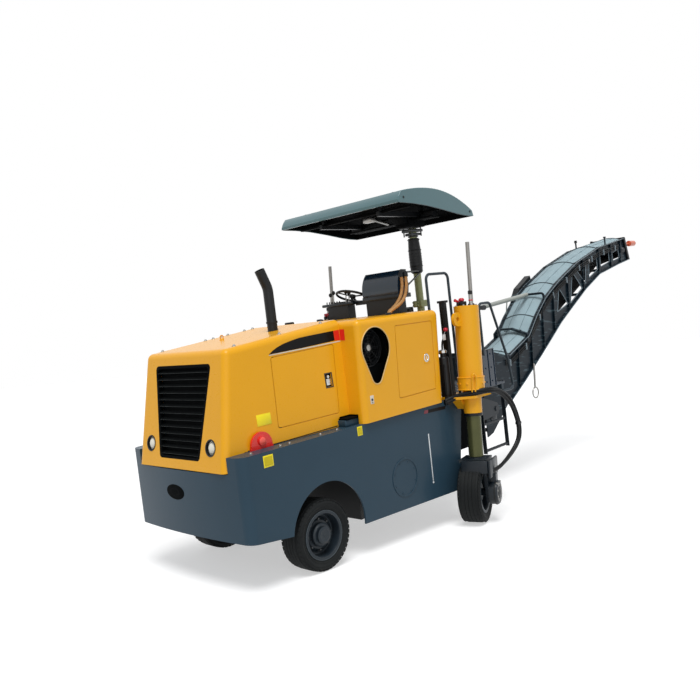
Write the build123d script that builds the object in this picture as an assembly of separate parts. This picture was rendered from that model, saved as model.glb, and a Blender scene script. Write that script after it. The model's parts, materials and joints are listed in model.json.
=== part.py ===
from build123d import *
from math import degrees
import os

# Four-wheeled cold planer: engine at the front, milling drum amidships, standing operator's
# platform at the rear and a slewing discharge conveyor behind it.
#
# All sizes are millimetres. The body is drawn level in the machine frame: X forward, Y to the
# machine's left, Z up, with Z = 0 at the foot of the front wheels. The rear legs are extended, so
# the body stands nose down. stand() turns every body piece about the front axle by nose_down.
# The rear legs and wheels are drawn straight in the standing frame, where the ground is Z = 0.

# ---------------------------------------------------------------- driving dimensions
tyre_radius = 305.0
tyre_width = 236.0
rim_radius = 190.0             # seat of the tyre
rim_wall = 12.0
front_axle_x = 562.0           # machine frame
front_track_half = 692.0       # middle of the front tyres
wheelbase = 1978.0             # on the ground
nose_down = 3.75               # degrees
origin_ahead = 3564.4          # front axle ahead of the origin, which is under the middle of the box

body_half = 822.0              # outside of the lower body
plate = 16.0                   # lower body plate
body_top = 1138.0              # ledge that carries hood and rear box
skirt_rear_top_x = -1516.0
skirt_rear_foot_x = -1345.0
skirt_foot_z = 203.0           # lower edge at the rear corner
skirt_front_z = 262.0          # lower edge behind the wheel arch
arch_radius = 420.0
arch_x = 495.0
arch_z = 325.0
nose_x = 1330.0                # front corners of the lower body
nose_bulge = 58.0              # middle of the front wall ahead of its corners
nose_corner = 90.0             # corner radius
nose_foot_z = 455.0
chin_z = 395.0                 # lower edge just ahead of the arch
tow_eye_width = 142.0
tow_eye_height = 114.0

running_gap = 0.5              # radial gap of sliding and turning fits
door_gap = 6.0
seat_gap = 0.3
wall = 10.0                    # hood and rear box sheet

# engine hood
hood_front_x = 1378.0
hood_lean = 181.0              # front face leans back by this over its height
hood_foot_z = 1010.0
hood_front_top_z = 1967.0
hood_rear_x = 93.0
hood_rear_top_z = 2072.0
hood_foot_half = 648.0
hood_front_top_half = 600.0
hood_rear_half = 680.0
hood_corner = 60.0
notch_front_x = 140.0
notch_top_z = 1224.0
notch_out = 775.0              # how far the notch runs out across the box's front wall

# rear box over the drum
box_half = 855.0
box_front_x = -25.0            # foot of the box's front wall
box_rear_x = -1183.0
box_top_z = 2066.0
box_top_front_x = -62.0
box_top_rear_x = -1250.0
box_corner = 58.0

# milling drum
drum_x = -513.0
drum_z = 536.0
drum_radius = 220.0
drum_half = 500.0
housing_half = 545.0
housing_wall = 20.0
shaft_radius = 60.0

# rear legs, standing frame
leg_y = 990.0
leg_radius = 74.0
neck_radius = 92.0             # narrow foot of the column
rod_radius = 20.0              # depth scale rods
rod_length = 648.0
column_radius = 126.0
column_wall = 12.0
column_foot_z = 1350.0
column_top_z = 2196.0
leg_top_z = 1720.0
rear_tyre_inset = 34.0         # tyre middle inboard of the leg axis
rear_steer_rest = 21.0         # degrees, as it is parked
motor_radius = 120.0
ear_z = 2062.0                 # lifting ear on each column, standing frame
ear_reach = 46.0               # its bore ahead of the column
ear_radius = 70.0
ear_bore = 24.0
ear_plate = 30.0

shelf_plate = 26.0             # plate that carries the column on the body
tower_x = -1440.0
tower_y = 772.0

# operator's platform, canopy
deck_plate = 24.0
deck_half = 780.0
deck_rear_x = -2420.0
post_x = -1710.0
post_y = 270.0
post_radius = 41.0
canopy_half = 857.0
canopy_skin = 10.0
canopy_rim = 8.0               # rounding where crown meets the side rims
rail_radius = 14.0
rail_y = 806.0

# discharge conveyor, machine frame
slew_x = -2500.0
slew_pin_radius = 35.0
luff_x = -2945.0
luff_z = 745.0
luff_pin_radius = 30.0
boom_half = 240.0
boom_plate = 12.0
boom_flange = 9.0
boom_flange_width = 30.0
yoke_plate = 24.0

beam_front_x = -1390.0         # rear cross beam
beam_rear_x = -1550.0
beam_foot_z = 940.0
well_y = 590.0                 # plates inboard of the rear wheels
well_rear_x = -1900.0
well_foot_z = 520.0
rail_in = 380.0                # rails over the front axle
rail_out = 420.0
rail_front_x = arch_x + arch_radius - 60
rail_rear_x = drum_x + 370
frame_end_x = slew_x + 85      # the slewing eyes stand out behind this plate
tail_in = 180.0                # rails to the slewing pin
tail_out = 220.0
slew_eye_radius = 80.0
slew_foot_z = 560.0
slew_top_z = 1080.0
hub_foot_z = 640.0
hub_top_z = 960.0

wheel_cut_x = -1120.0          # right skirt is cut away behind this line for the turned wheel
wheel_cut_z = 880.0
picks_per_side = 14
pick_pitch = 42.0              # degrees from one pick to the next

grille_top_half = 417.0
grille_foot_half = 299.0
grille_top_z = 1863.0
grille_foot_z = 1090.0
grille_corner = 36.0
slat_count = 13
lamp_y = 449.0
lamp_v = 196.0                 # up the front face
lamp_radius = 66.0
exhaust_x = 303.0
exhaust_y = 135.0
exhaust_radius = 47.0
eye_big = 190.0                # air opening of the rear box
eye_big_x = -273.0
eye_big_z = 1796.0
eye_small = 72.0
eye_small_x = -248.0
eye_small_z = 1536.0

kingpin_y = 590.0
kingpin_radius = 25.0
knuckle_face_y = 665.0
spindle_radius = 38.0
rim_bore = spindle_radius + running_gap
motor_length = 90.0
fork_z = 2 * tyre_radius + 14
leg_foot_z = fork_z + 46

belt_width = 400.0
belt_half = 100.0
belt_thick = 12.0
cover_rise = 52.0
leg_x = origin_ahead - wheelbase

lug_x = 1004.0                 # tie-down lugs beside the hood
lug_y = 658.0
lug_plate = 20.0
lug_radius = 108.0
door_latch = (160.0, 648.0, 1565.0)  # on the hood's flank

parts = {}


# ---------------------------------------------------------------- helpers
def prism_xz(points, y_low, y_high):
    """Outline of (x, z) points, drawn out along Y."""
    outline = Polyline(*[(x, y_low, z) for x, z in points], close=True)
    return extrude(make_face(outline), amount=y_high - y_low, dir=(0, 1, 0))


def prism_xy(points, z_low, z_high):
    """Outline of (x, y) points, drawn out along Z."""
    outline = Polyline(*[(x, y, z_low) for x, y in points], close=True)
    return extrude(make_face(outline), amount=z_high - z_low, dir=(0, 0, 1))


def block(x0, x1, y0, y1, z0, z1):
    """Box between two corners."""
    size = Box(abs(x1 - x0), abs(y1 - y0), abs(z1 - z0))
    return Pos((x0 + x1) / 2, (y0 + y1) / 2, (z0 + z1) / 2) * size


def rod(start, end, radius):
    """Round bar between two points."""
    along = Vector(*end) - Vector(*start)
    return Solid.make_cylinder(radius, along.length, Plane(origin=start, z_dir=along))


def disc_y(x, y_low, y_high, z, radius):
    """Round bar along Y."""
    return rod((x, y_low, z), (x, y_high, z), radius)


def post_z(x, y, z_low, z_high, radius):
    """Round bar along Z."""
    return rod((x, y, z_low), (x, y, z_high), radius)


def pipe(points, radius, bend):
    """Round tube along straight runs joined by arcs."""
    path = FilletPolyline(*points, radius=bend)
    ring = Plane(origin=path @ 0, z_dir=path % 0) * Circle(radius)
    return sweep(ring, path=path)


def revolve_y(points, middle):
    """Profile of (radius, y) points, turned about the Y axis through middle."""
    outline = Polyline(*[(r, y, 0) for r, y in points], close=True)
    return Pos(*middle) * revolve(make_face(outline), axis=Axis.Y)


def flip(shape):
    """The same piece on the other side of the machine."""
    return mirror(shape, about=Plane.XZ)


def join(pieces):
    """Fuse a list of solids."""
    return pieces[0].fuse(*pieces[1:]) if len(pieces) > 1 else pieces[0]


STANCE = (Location((origin_ahead, 0, tyre_radius)) * Location((0, 0, 0), (0, nose_down, 0))
          * Location((-front_axle_x, 0, -tyre_radius)))


def stand(shape):
    """Machine frame to standing frame."""
    return STANCE * shape


def keep(name, shape):
    """File a finished piece under its node name."""
    parts[name] = shape


# ---------------------------------------------------------------- lower body
def lower_body():
    """Nose block, two skirts with round wheel arches and the ledge plate that joins them."""
    front = ThreePointArc((nose_x, -body_half), (nose_x + nose_bulge, 0), (nose_x, body_half))
    back_x = arch_x + arch_radius - 60
    rest = Polyline((nose_x, body_half), (back_x, body_half), (back_x, -body_half), (nose_x, -body_half))
    nose = extrude(make_face(front + rest), amount=body_top, dir=(0, 0, 1))
    corners = [e for e in nose.edges().filter_by(Axis.Z) if e.center().X > nose_x - 1]
    nose = fillet(corners, nose_corner)
    skirt_outline = [(nose_x - 200, body_top), (skirt_rear_top_x, body_top), (skirt_rear_foot_x, skirt_foot_z),
                     (arch_x - arch_radius + 10, skirt_front_z), (arch_x - arch_radius + 10, 600),
                     (nose_x - 200, 600)]
    left = prism_xz(skirt_outline, body_half - plate, body_half)
    ledge = block(nose_x - 200, skirt_rear_top_x + 60, -body_half + plate, body_half - plate,
                  body_top - plate, body_top)
    end_x = skirt_rear_top_x - 50
    wheel_room = prism_xz([(wheel_cut_x, 0), (wheel_cut_x, wheel_cut_z - 120), (wheel_cut_x - 120, wheel_cut_z),
                           (end_x, wheel_cut_z), (end_x, 0)], -body_half - 10, -600)
    shell = join([nose, left, flip(left) - wheel_room, ledge])
    slope = (nose_foot_z - chin_z) / (nose_x - back_x)
    under = prism_xz([(back_x - 10, -10), (nose_x + 100, -10), (nose_x + 100, nose_foot_z + slope * 100),
                      (back_x - 10, chin_z)], -body_half - 10, body_half + 10)
    arch = disc_y(arch_x, -body_half - 10, body_half + 10, arch_z, arch_radius)
    seat_half = hood_foot_half + 6
    seat = block(hood_front_x - 230, nose_x + 200, -seat_half, seat_half, hood_foot_z - 6, 1200)
    tow_eye = Location((nose_x + 60, -46, 812), (0, -90, 0)) * SlotOverall(tow_eye_width, tow_eye_height, rotation=90)
    eye = extrude(tow_eye, amount=120)
    shell = shell - under - arch - seat - eye
    ring = disc_y(drum_x, body_half - 1, body_half + 6, drum_z, 182)
    ring = ring - disc_y(drum_x, body_half - 2, body_half + 7, drum_z, 168)
    return shell.fuse(ring, flip(ring))


def tie_lug():
    """Left tie-down lug on the ledge beside the hood: rounded plate with the end of its pin."""
    foot = block(lug_x - lug_radius - 6, lug_x + lug_radius + 6, lug_y, lug_y + lug_plate, body_top, body_top + 18)
    sheet = disc_y(lug_x, lug_y, lug_y + lug_plate, body_top + 28, lug_radius)
    sheet = sheet & block(lug_x - 200, lug_x + 200, lug_y, lug_y + lug_plate, body_top, 1400)
    pin = disc_y(lug_x, lug_y, lug_y + lug_plate + 14, body_top + 62, 36)
    return join([foot, sheet, pin])


def main_frame():
    """Rails over the front axle, rear cross beam and the rails that reach out to the slewing pin."""
    under_ledge = body_top - plate
    pieces = []
    for side in (1, -1):
        outline = [(rail_front_x, under_ledge), (rail_front_x, 780), (700, 740), (300, 740), (rail_rear_x, 640),
                   (rail_rear_x, under_ledge)]
        low, high = sorted((side * rail_in, side * rail_out))
        pieces.append(prism_xz(outline, low, high))
        low, high = sorted((side * tail_in, side * tail_out))
        tail = [(beam_rear_x, body_top), (beam_rear_x, 940), (frame_end_x + 40, 990), (frame_end_x, body_top)]
        pieces.append(prism_xz(tail, low, high))
    pieces.append(block(300, 700, -rail_in, rail_in, 740, 800))
    pieces.append(block(beam_rear_x, beam_front_x, -body_half + plate, body_half - plate, beam_foot_z, under_ledge))
    pieces.append(block(frame_end_x, frame_end_x + 40, -tail_out, tail_out, slew_foot_z, body_top))
    for low, high in ((slew_foot_z, hub_foot_z - 8), (hub_top_z + 8, slew_top_z)):
        pieces.append(post_z(slew_x, 0, low, high, slew_eye_radius))
        pieces.append(block(slew_x, frame_end_x, -slew_eye_radius, slew_eye_radius, low, high))
    pieces.append(post_z(slew_x, 0, slew_foot_z, slew_top_z, slew_pin_radius))
    pieces.append(block(-1300, beam_front_x, -housing_half, -housing_half + 30, 700, under_ledge))
    pieces.append(block(-1300, beam_front_x, housing_half - 30, housing_half, 700, under_ledge))
    for side in (1, -1):
        low, high = sorted((side * well_y, side * (well_y + 12)))
        pieces.append(block(well_rear_x, beam_front_x, low, high, well_foot_z, under_ledge))
    return join(pieces)


def drum_housing():
    """Scraper box round the drum: two cheeks, front and rear walls, roof and a discharge throat."""
    out = housing_half
    front_x, rear_x = drum_x + 370, drum_x - 420
    roof_z = 960
    foot_z = 200
    shell = block(rear_x, front_x, -out, out, foot_z, roof_z)
    room = block(rear_x + housing_wall, front_x - housing_wall, -out + housing_wall, out - housing_wall,
                 foot_z - 10, roof_z - housing_wall)
    throat = block(rear_x - 10, rear_x + housing_wall + 10, -280, 280, 420, 800)
    shell = shell - room - throat
    for side in (1, -1):
        low, high = sorted((side * (out - housing_wall), side * (body_half - plate)))
        shell = shell.fuse(disc_y(drum_x, low, high, drum_z, shaft_radius + 45))
    return shell - disc_y(drum_x, -out - 300, out + 300, drum_z, shaft_radius + running_gap)


def milling_drum():
    """Drum with pick holders on two helices that carry the cuttings to the middle."""
    drum = disc_y(drum_x, -drum_half, drum_half, drum_z, drum_radius)
    for side in (1, -1):
        low, high = sorted((side * (drum_half - 1), side * (body_half - plate - 6)))
        drum = drum.fuse(disc_y(drum_x, low, high, drum_z, shaft_radius))
    holders = []
    for side in (1, -1):
        for index in range(picks_per_side):
            y = side * (25 + index * (drum_half - 50) / (picks_per_side - 1))
            turn = index * pick_pitch + (0 if side > 0 else 180)
            holder = Pos(drum_radius + 22, 0, 0) * Box(60, 44, 60)
            tip = Pos(drum_radius + 62, 0, 14) * Rot(0, 62, 0) * Cone(19, 4, 86)
            pick = Pos(drum_x, y, drum_z) * Rot(0, turn, 0) * (holder + tip)
            holders.append(pick)
    return drum.fuse(*holders)


# ---------------------------------------------------------------- hood and rear box
def half_space(shape, origin, normal):
    """What lies behind a plane whose normal points out of the shape."""
    return split(shape, bisect_by=Plane(origin=origin, z_dir=normal), keep=Keep.BOTTOM)


hood_height = hood_front_top_z - hood_foot_z
hood_side_run = (hood_rear_half - hood_foot_half) / (hood_front_x - hood_rear_x)
hood_side_rise = (hood_foot_half + hood_side_run * hood_lean - hood_front_top_half) / hood_height
front_normal = Vector(hood_height, 0, hood_lean).normalized()
top_rise = (hood_rear_top_z - hood_front_top_z) / (hood_front_x - hood_lean - hood_rear_x)
box_lean = (box_front_x - box_top_front_x) / (box_top_z - body_top)


def hood_form(inset):
    """Hood with flat leaning sides and rounded edges, inset from its outer skin."""
    form = block(box_front_x - 80, hood_front_x + 50, -900, 900, hood_foot_z - inset, 2300)
    form = half_space(form, Vector(hood_front_x, 0, hood_foot_z) - front_normal * inset, front_normal)
    top = Vector(top_rise, 0, 1).normalized()
    form = half_space(form, Vector(hood_rear_x, 0, hood_rear_top_z) - top * inset, top)
    for side in (1, -1):
        flank = Vector(hood_side_run, side, hood_side_rise).normalized()
        form = half_space(form, Vector(hood_front_x, side * hood_foot_half, hood_foot_z) - flank * inset, flank)
    soft = []
    for edge in form.edges():
        c = edge.center()
        if c.X > 1150 and abs(c.Y) > 400 and edge.length > 700:
            soft.append(edge)
        elif c.Z > 1900 and 100 < c.X < 1150 and abs(c.Y) > 400:
            soft.append(edge)
        elif c.X > 1100 and c.Z > 1850 and abs(c.Y) < 50:
            soft.append(edge)
    form = fillet(soft, hood_corner - inset)
    rear = Vector(-1, 0, -box_lean).normalized()
    return half_space(form, Vector(box_front_x, 0, body_top), rear)


def service_notch():
    """Gap at the foot of both flanks where hood and rear box meet, for lines over the ledge."""
    flank = prism_xz([(notch_front_x, body_top - 10), (notch_front_x - 37, notch_top_z),
                      (box_front_x - 200, notch_top_z), (box_front_x - 200, body_top - 10)], -notch_out, notch_out)
    return flank - block(box_front_x - 60, box_front_x - 300, -900, 900, 1000, 1300)


def hood_shell():
    """Skin of the hood, open below and behind, notched to sit on the ledge."""
    inner = hood_form(wall)
    lower = block(box_front_x - 90, hood_front_x + 60, -900, 900, hood_foot_z - 50, hood_foot_z + 1)
    shell = hood_form(0) - inner - lower
    return shell - block(-100, hood_front_x - 215, -900, 900, 900, body_top + 1) - service_notch()


door_table = {  # (x, z) corners: front foot, front top, rear top, rear foot
    "hood": [(789.0, 1262.0), (757.0, 1842.0), (47.0, 1871.0), (98.0, 1266.0)],
    "box": [(-524.0, 1289.0), (-569.0, 1960.0), (-1115.0, 1957.0), (-1077.0, 1294.0)],
}


def door_prism(corners, grow):
    """Prism through the left wall for a door (grow 0) or, grown, for its opening."""
    face = make_face(Polyline(*corners, close=True))
    face = fillet(face.vertices(), 18)
    if grow:
        face = offset(face, amount=grow)
    return Plane(origin=(0, 950, 0), x_dir=(1, 0, 0), z_dir=(0, -1, 0)) * extrude(face, amount=550)


def grille_plane():
    """Plane of the hood's front face: X across, Y up the slope, Z out."""
    return Plane(origin=(hood_front_x, 0, hood_foot_z), x_dir=(0, 1, 0), z_dir=front_normal)


def grille_face(shrink):
    """Inverted trapezoid of the grille, rounded at its corners."""
    slope = hypot_height / hood_height
    low = (grille_foot_z - hood_foot_z) * slope + shrink
    high = (grille_top_z - hood_foot_z) * slope - shrink
    corners = [(grille_foot_half - shrink, low), (grille_top_half - shrink, high),
               (-grille_top_half + shrink, high), (-grille_foot_half + shrink, low)]
    face = make_face(Polyline(*corners, close=True))
    return fillet(face.vertices(), grille_corner)


hypot_height = (hood_height ** 2 + hood_lean ** 2) ** 0.5


def on_front(face, start, depth):
    """Extrude a flat face of the front plane from start below the skin, inwards by depth."""
    plane = grille_plane()
    return plane * (Pos(0, 0, -start - depth) * extrude(face, amount=depth))


def door_flange(row, form):
    """Rim behind a door opening that the closed door lies on, left clear at the hinge."""
    ring = door_prism(row, 26) - door_prism(row, -14)
    (x1, z1), (x2, z2) = row[0], row[1]
    ring = ring - prism_xz([(x1 - 40, z1 - 60), (x2 - 40, z2 + 60), (x2 + 60, z2 + 60), (x1 + 60, z1 - 60)], 400, 900)
    return (form(wall) - form(wall + 6)) & ring


def engine_hood():
    """Hood skin with openings for the grille, the lamps, the doors and the exhaust."""
    shell = hood_shell()
    shell = shell - on_front(grille_face(0), -40, 120)
    for side in (1, -1):
        shell = shell - on_front(Pos(side * lamp_y, lamp_v, 0) * Circle(lamp_radius + 0.3), -40, 120)
    opening = door_prism(door_table["hood"], door_gap)
    flange = door_flange(door_table["hood"], hood_form)
    shell = (shell - opening - flip(opening)).fuse(flange, flip(flange))
    return shell - post_z(exhaust_x, exhaust_y, 1900, 2200, exhaust_radius + 8)


def latch(x, z, width, height, face_y):
    """Sunk pan of a door latch and the paddle in it, on a left wall; also the hole for it."""
    hole = block(x - width / 2, x + width / 2, face_y - 60, face_y + 40, z - height / 2, z + height / 2)
    rim_box = block(x - width / 2 - 8, x + width / 2 + 8, face_y - 34, face_y - wall + 2, z - height / 2 - 8,
                    z + height / 2 + 8)
    pan = rim_box - block(x - width / 2, x + width / 2, face_y - 30, face_y + 40, z - height / 2, z + height / 2)
    paddle = block(x - width / 2 + 14, x + width / 2 - 14, face_y - 31, face_y - 12, z - 30, z + 14)
    stem = disc_y(x, face_y - 31, face_y - 6, z + 30, 11)
    return hole, join([pan, paddle, stem])


def hood_door():
    """Left engine door, cut from the same skin as the hood."""
    skin = hood_form(0) - hood_form(wall - seat_gap)
    skin = skin & door_prism(door_table["hood"], 0)
    x, y, z = door_latch
    hole, fitting = latch(x, z, 70.0, 112.0, y)
    tilt = Pos(x, y, z) * Rot(degrees(hood_side_rise), 0, 0) * Pos(-x, -y, -z)
    return (skin - hole).fuse(tilt * fitting)


def grille():
    """Frame and slats, set into the front of the hood."""
    frame = on_front(grille_face(0.3) - grille_face(25), 0, 34)
    slats = []
    slope = hypot_height / hood_height
    low = (grille_foot_z - hood_foot_z) * slope + 25
    high = (grille_top_z - hood_foot_z) * slope - 25
    for index in range(slat_count):
        v = low + (index + 0.5) * (high - low) / slat_count
        share = (v - low) / (high - low)
        half = grille_foot_half + share * (grille_top_half - grille_foot_half) - 18
        slat = Pos(0, v, -18) * Rot(-50, 0, 0) * Box(2 * half, 40, 4)
        slats.append(grille_plane() * slat)
    return frame.fuse(*slats)


def headlights():
    """Two round lamps in recessed cups."""
    lamps = []
    for side in (1, -1):
        spot = Pos(side * lamp_y, lamp_v, 0)
        cup = on_front(spot * (Circle(lamp_radius) - Circle(lamp_radius - 6)), 0, 60)
        back = on_front(spot * Circle(lamp_radius), 60, 20)
        bulb = on_front(spot * Circle(lamp_radius - 16), 30, 30)
        lamps.append(join([cup, back, bulb]))
    return Compound(lamps)


def rear_box_form(inset):
    """Box over the drum, leaning ends, rounded edges."""
    outline = [(box_front_x - inset, body_top), (box_top_front_x - inset, box_top_z - inset),
               (box_top_rear_x + inset, box_top_z - inset), (box_rear_x + inset, body_top)]
    form = prism_xz(outline, -box_half + inset, box_half - inset)
    soft = [e for e in form.edges() if e.center().Z > body_top + 60]
    return fillet(soft, box_corner - inset)


def teardrop(y_low, y_high, grow):
    """Cooling-air opening: a large circle drawn down into a small one."""
    big, small = eye_big + grow, eye_small + grow
    dx, dz = eye_small_x - eye_big_x, eye_small_z - eye_big_z
    gap = (dx * dx + dz * dz) ** 0.5
    ux, uz = dx / gap, dz / gap
    s = (big - small) / gap
    c = (1 - s * s) ** 0.5
    left = (ux * s - uz * c, uz * s + ux * c)
    right = (ux * s + uz * c, uz * s - ux * c)
    web = prism_xz([(eye_big_x + big * left[0], eye_big_z + big * left[1]),
                    (eye_small_x + small * left[0], eye_small_z + small * left[1]),
                    (eye_small_x + small * right[0], eye_small_z + small * right[1]),
                    (eye_big_x + big * right[0], eye_big_z + big * right[1])], y_low, y_high)
    return join([web, disc_y(eye_big_x, y_low, y_high, eye_big_z, big),
                 disc_y(eye_small_x, y_low, y_high, eye_small_z, small)])


def rear_box():
    """Sheet box with door openings, air openings and stiffened rims."""
    shell = rear_box_form(0) - rear_box_form(wall) - block(-1300, 200, -900, 900, 1100, body_top)
    cut = teardrop(box_half - 40, box_half + 40, 0)
    opening = door_prism(door_table["box"], door_gap)
    flange = door_flange(door_table["box"], rear_box_form)
    shell = shell - cut - flip(cut) - opening - flip(opening) - service_notch()
    return shell.fuse(flange, flip(flange))


def tank_door():
    """Left door of the rear box, cut from its skin."""
    skin = rear_box_form(0) - rear_box_form(wall - seat_gap)
    skin = skin & door_prism(door_table["box"], 0)
    hole, fitting = latch(-980.0, 1609.0, 62.0, 84.0, box_half)
    return (skin - hole).fuse(fitting)


def oil_cooler():
    """Cooler block with a fan ring behind each air opening."""
    pieces = [block(-470, -80, -640, 640, 1400, 1980)]
    for side in (1, -1):
        low, high = sorted((side * 640, side * 760))
        ring = disc_y(eye_big_x, low, high, eye_big_z, 178) - disc_y(eye_big_x, low, high, eye_big_z, 166)
        hub = disc_y(eye_big_x, low, high, eye_big_z, 46)
        pieces += [ring, hub]
        for index in range(6):
            blade = Pos(eye_big_x, (low + high) / 2, eye_big_z) * Rot(0, index * 60, 0)
            pieces.append(blade * Pos(106, 0, 0) * Rot(35, 0, 0) * Box(126, 60, 5))
    pieces.append(block(-470, -80, -600, 600, body_top, 1400))
    return join(pieces)


def engine_block():
    """Engine as one plain block, with its radiator ahead of it."""
    engine = block(230, 1060, -360, 360, body_top, 1790)
    radiator = block(1060, 1140, -470, 470, body_top, 1840)
    return engine.fuse(radiator)


def exhaust():
    """Stack out of the hood, its mouth bent forward."""
    route = [(exhaust_x, exhaust_y, 1790), (exhaust_x, exhaust_y, 2440), (exhaust_x + 72, exhaust_y, 2610)]
    stack = pipe(route, exhaust_radius, 180)
    mouth = route[-1]
    bore = rod((mouth[0] - 60, mouth[1], mouth[2] - 142), (mouth[0] + 6, mouth[1], mouth[2] + 14), exhaust_radius - 5)
    clamp = post_z(exhaust_x, exhaust_y, 2120, 2140, exhaust_radius + 6)
    return (stack + clamp) - bore


# ---------------------------------------------------------------- wheels
def tyre(middle, spin_turn=0.0):
    """Tyre with rounded shoulders and sidewalls."""
    half = tyre_width / 2
    bead = rim_radius + 6
    profile = [(bead, -half + 38), (bead + 26, -half + 15), (bead + 62, -half), (tyre_radius - 42, -half + 2),
               (tyre_radius - 14, -half + 16), (tyre_radius - 2, -half + 42), (tyre_radius, -half + 80)]
    profile += [(r, -y) for r, y in reversed(profile)]
    return revolve_y(profile, middle)


def rim(hub_in, hub_out, bore, cap_in):
    """Rim about the Y axis with a dished disc; the hub is closed on its inner or its outer end."""
    half = tyre_width / 2
    seat = rim_radius + 5.7
    inner = rim_radius - rim_wall
    shell = [(seat, -half + 36), (seat + 14, -half + 22), (seat + 14, -half + 14), (inner + 4, -half + 14),
             (inner, -half + 30)]
    shell += [(r, -y) for r, y in reversed(shell)]
    ring = revolve_y(shell, (0, 0, 0))
    disc = revolve_y([(60, 24), (60, 40), (120, 40), (150, 12), (inner + 3, 12), (inner + 3, -4), (142, -4),
                      (112, 24)], (0, 0, 0))
    hub = revolve_y([(bore, -hub_in), (bore, hub_out), (88, hub_out), (100, hub_out - 12), (100, 24), (72, 20),
                     (72, -hub_in)], (0, 0, 0))
    cap = disc_y(0, -hub_in, -hub_in + 12, 0, bore + 5) if cap_in else disc_y(0, hub_out - 12, hub_out, 0, bore + 5)
    return join([ring, disc, hub, cap])


def front_axle():
    """Beam under the frame with an upright eye for each kingpin."""
    beam = block(front_axle_x - 70, front_axle_x + 70, -kingpin_y + 60, kingpin_y - 60, 250, 400)
    saddle = block(front_axle_x - 110, front_axle_x + 110, -300, 300, 400, 740)
    pieces = [beam, saddle]
    for side in (1, -1):
        low, high = sorted((side * (kingpin_y - 62), side * kingpin_y))
        pieces.append(block(front_axle_x - 50, front_axle_x + 50, low, high, tyre_radius - 55, tyre_radius + 55))
        pieces.append(post_z(front_axle_x, side * kingpin_y, tyre_radius - 55, tyre_radius + 55, 50))
    axle = join(pieces)
    for side in (1, -1):
        axle = axle - post_z(front_axle_x, side * kingpin_y, 200, 420, kingpin_radius + running_gap)
    return axle


def front_knuckle():
    """Left stub axle: fork over the beam eye, kingpin, spindle and steering arm."""
    arm_z = tyre_radius + 55 + 6
    pin = post_z(front_axle_x, kingpin_y, tyre_radius - 85, tyre_radius + 85, kingpin_radius)
    pieces = [pin]
    for low in (arm_z, 2 * tyre_radius - arm_z - 24):
        pieces.append(post_z(front_axle_x, kingpin_y, low, low + 24, 44))
        pieces.append(block(front_axle_x - 44, front_axle_x + 44, kingpin_y, knuckle_face_y, low, low + 24))
    pieces.append(block(front_axle_x - 44, front_axle_x + 44, knuckle_face_y - 22, knuckle_face_y,
                        2 * tyre_radius - arm_z - 24, arm_z + 24))
    pieces.append(disc_y(front_axle_x, knuckle_face_y - 4, front_track_half + 60, tyre_radius, spindle_radius))
    pieces.append(block(front_axle_x - 138, front_axle_x - 40, kingpin_y - 16, kingpin_y + 16,
                        2 * tyre_radius - arm_z - 24, 2 * tyre_radius - arm_z))
    return join(pieces)


def rear_leg():
    """Left leg tube with its foot plate, standing frame."""
    x = leg_x
    tube = post_z(x, leg_y, leg_foot_z, leg_top_z, leg_radius)
    return tube - post_z(x, leg_y, leg_foot_z - 10, leg_foot_z + 100, 60 + running_gap)


def rear_fork():
    """Left fork: head plate, turntable collar, outboard arm and the motor on it."""
    x, y = leg_x, leg_y
    arm_in = y - rear_tyre_inset + tyre_width / 2 + 12
    arm_out = arm_in + 30
    head = block(x - 150, x + 150, y - 142, arm_out, fork_z, fork_z + 30)
    collar = post_z(x, y, fork_z + 30, leg_foot_z - 6, leg_radius + 22)
    top_z, shoulder_z, foot_z = fork_z + 30, fork_z - 60, tyre_radius - 90
    arm = prism_xz([(x - 150, top_z), (x + 150, top_z), (x + 150, shoulder_z), (x + 80, foot_z),
                    (x - 80, foot_z), (x - 150, shoulder_z)], arm_in, arm_out)
    pivot = post_z(x, y, fork_z + 20, leg_foot_z + 90, 60)
    spindle = disc_y(x, y - rear_tyre_inset - 42, arm_in + 5, tyre_radius, spindle_radius)
    motor = disc_y(x, arm_out, arm_out + motor_length, tyre_radius, motor_radius)
    motor = fillet(motor.edges().filter_by(GeomType.CIRCLE).sort_by(Axis.Y)[-1], 20)
    ports = block(x - 40, x + 40, arm_out, arm_out + 70, tyre_radius + 80, tyre_radius + 190)
    return join([head, collar, arm, pivot, spindle, motor, ports])


def leg_column():
    """Left column: guide tube, foot collar, brackets on the lower body and cap plate."""
    x, y = leg_x, leg_y
    tube = post_z(x, y, column_foot_z, column_top_z, column_radius)
    collar = post_z(x, y, column_foot_z, 1475, column_radius + 9)
    guide = post_z(x, y, column_foot_z - 240, column_foot_z + 10, neck_radius)
    outline = [(-1280, 700), (-1280, 900), (-1370, 1096), (-1660, 1096), (-1740, 980), (-1740, 700)]
    shelf = stand(prism_xy(outline, body_top, body_top + shelf_plate))
    web = stand(prism_xz([(-1580, body_top), (-1340, body_top), (-1440, 1020), (-1560, 1020)], body_half, y - 60))
    ear_x = x + column_radius + ear_reach
    ear = disc_y(ear_x, y - ear_plate / 2, y + ear_plate / 2, ear_z, ear_radius)
    ear = ear.fuse(block(x + column_radius - 12, ear_x, y - ear_plate / 2, y + ear_plate / 2, ear_z - ear_radius,
                         ear_z + ear_radius - 20))
    body = join([tube, collar, guide, shelf, web, ear])
    body = body - post_z(x, y, 1000, column_top_z - 16, leg_radius + running_gap)
    body = body - post_z(x, y, 1500, column_top_z - 16, column_radius - column_wall)
    body = body - disc_y(ear_x, y - 40, y + 40, ear_z, ear_bore)
    return body


def height_rods():
    """Depth scale rods on the two column caps."""
    rods = []
    for side in (1, -1):
        rods.append(post_z(leg_x - 70, side * (leg_y + 20), column_top_z, column_top_z + rod_length, rod_radius))
    return Compound(rods)


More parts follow.
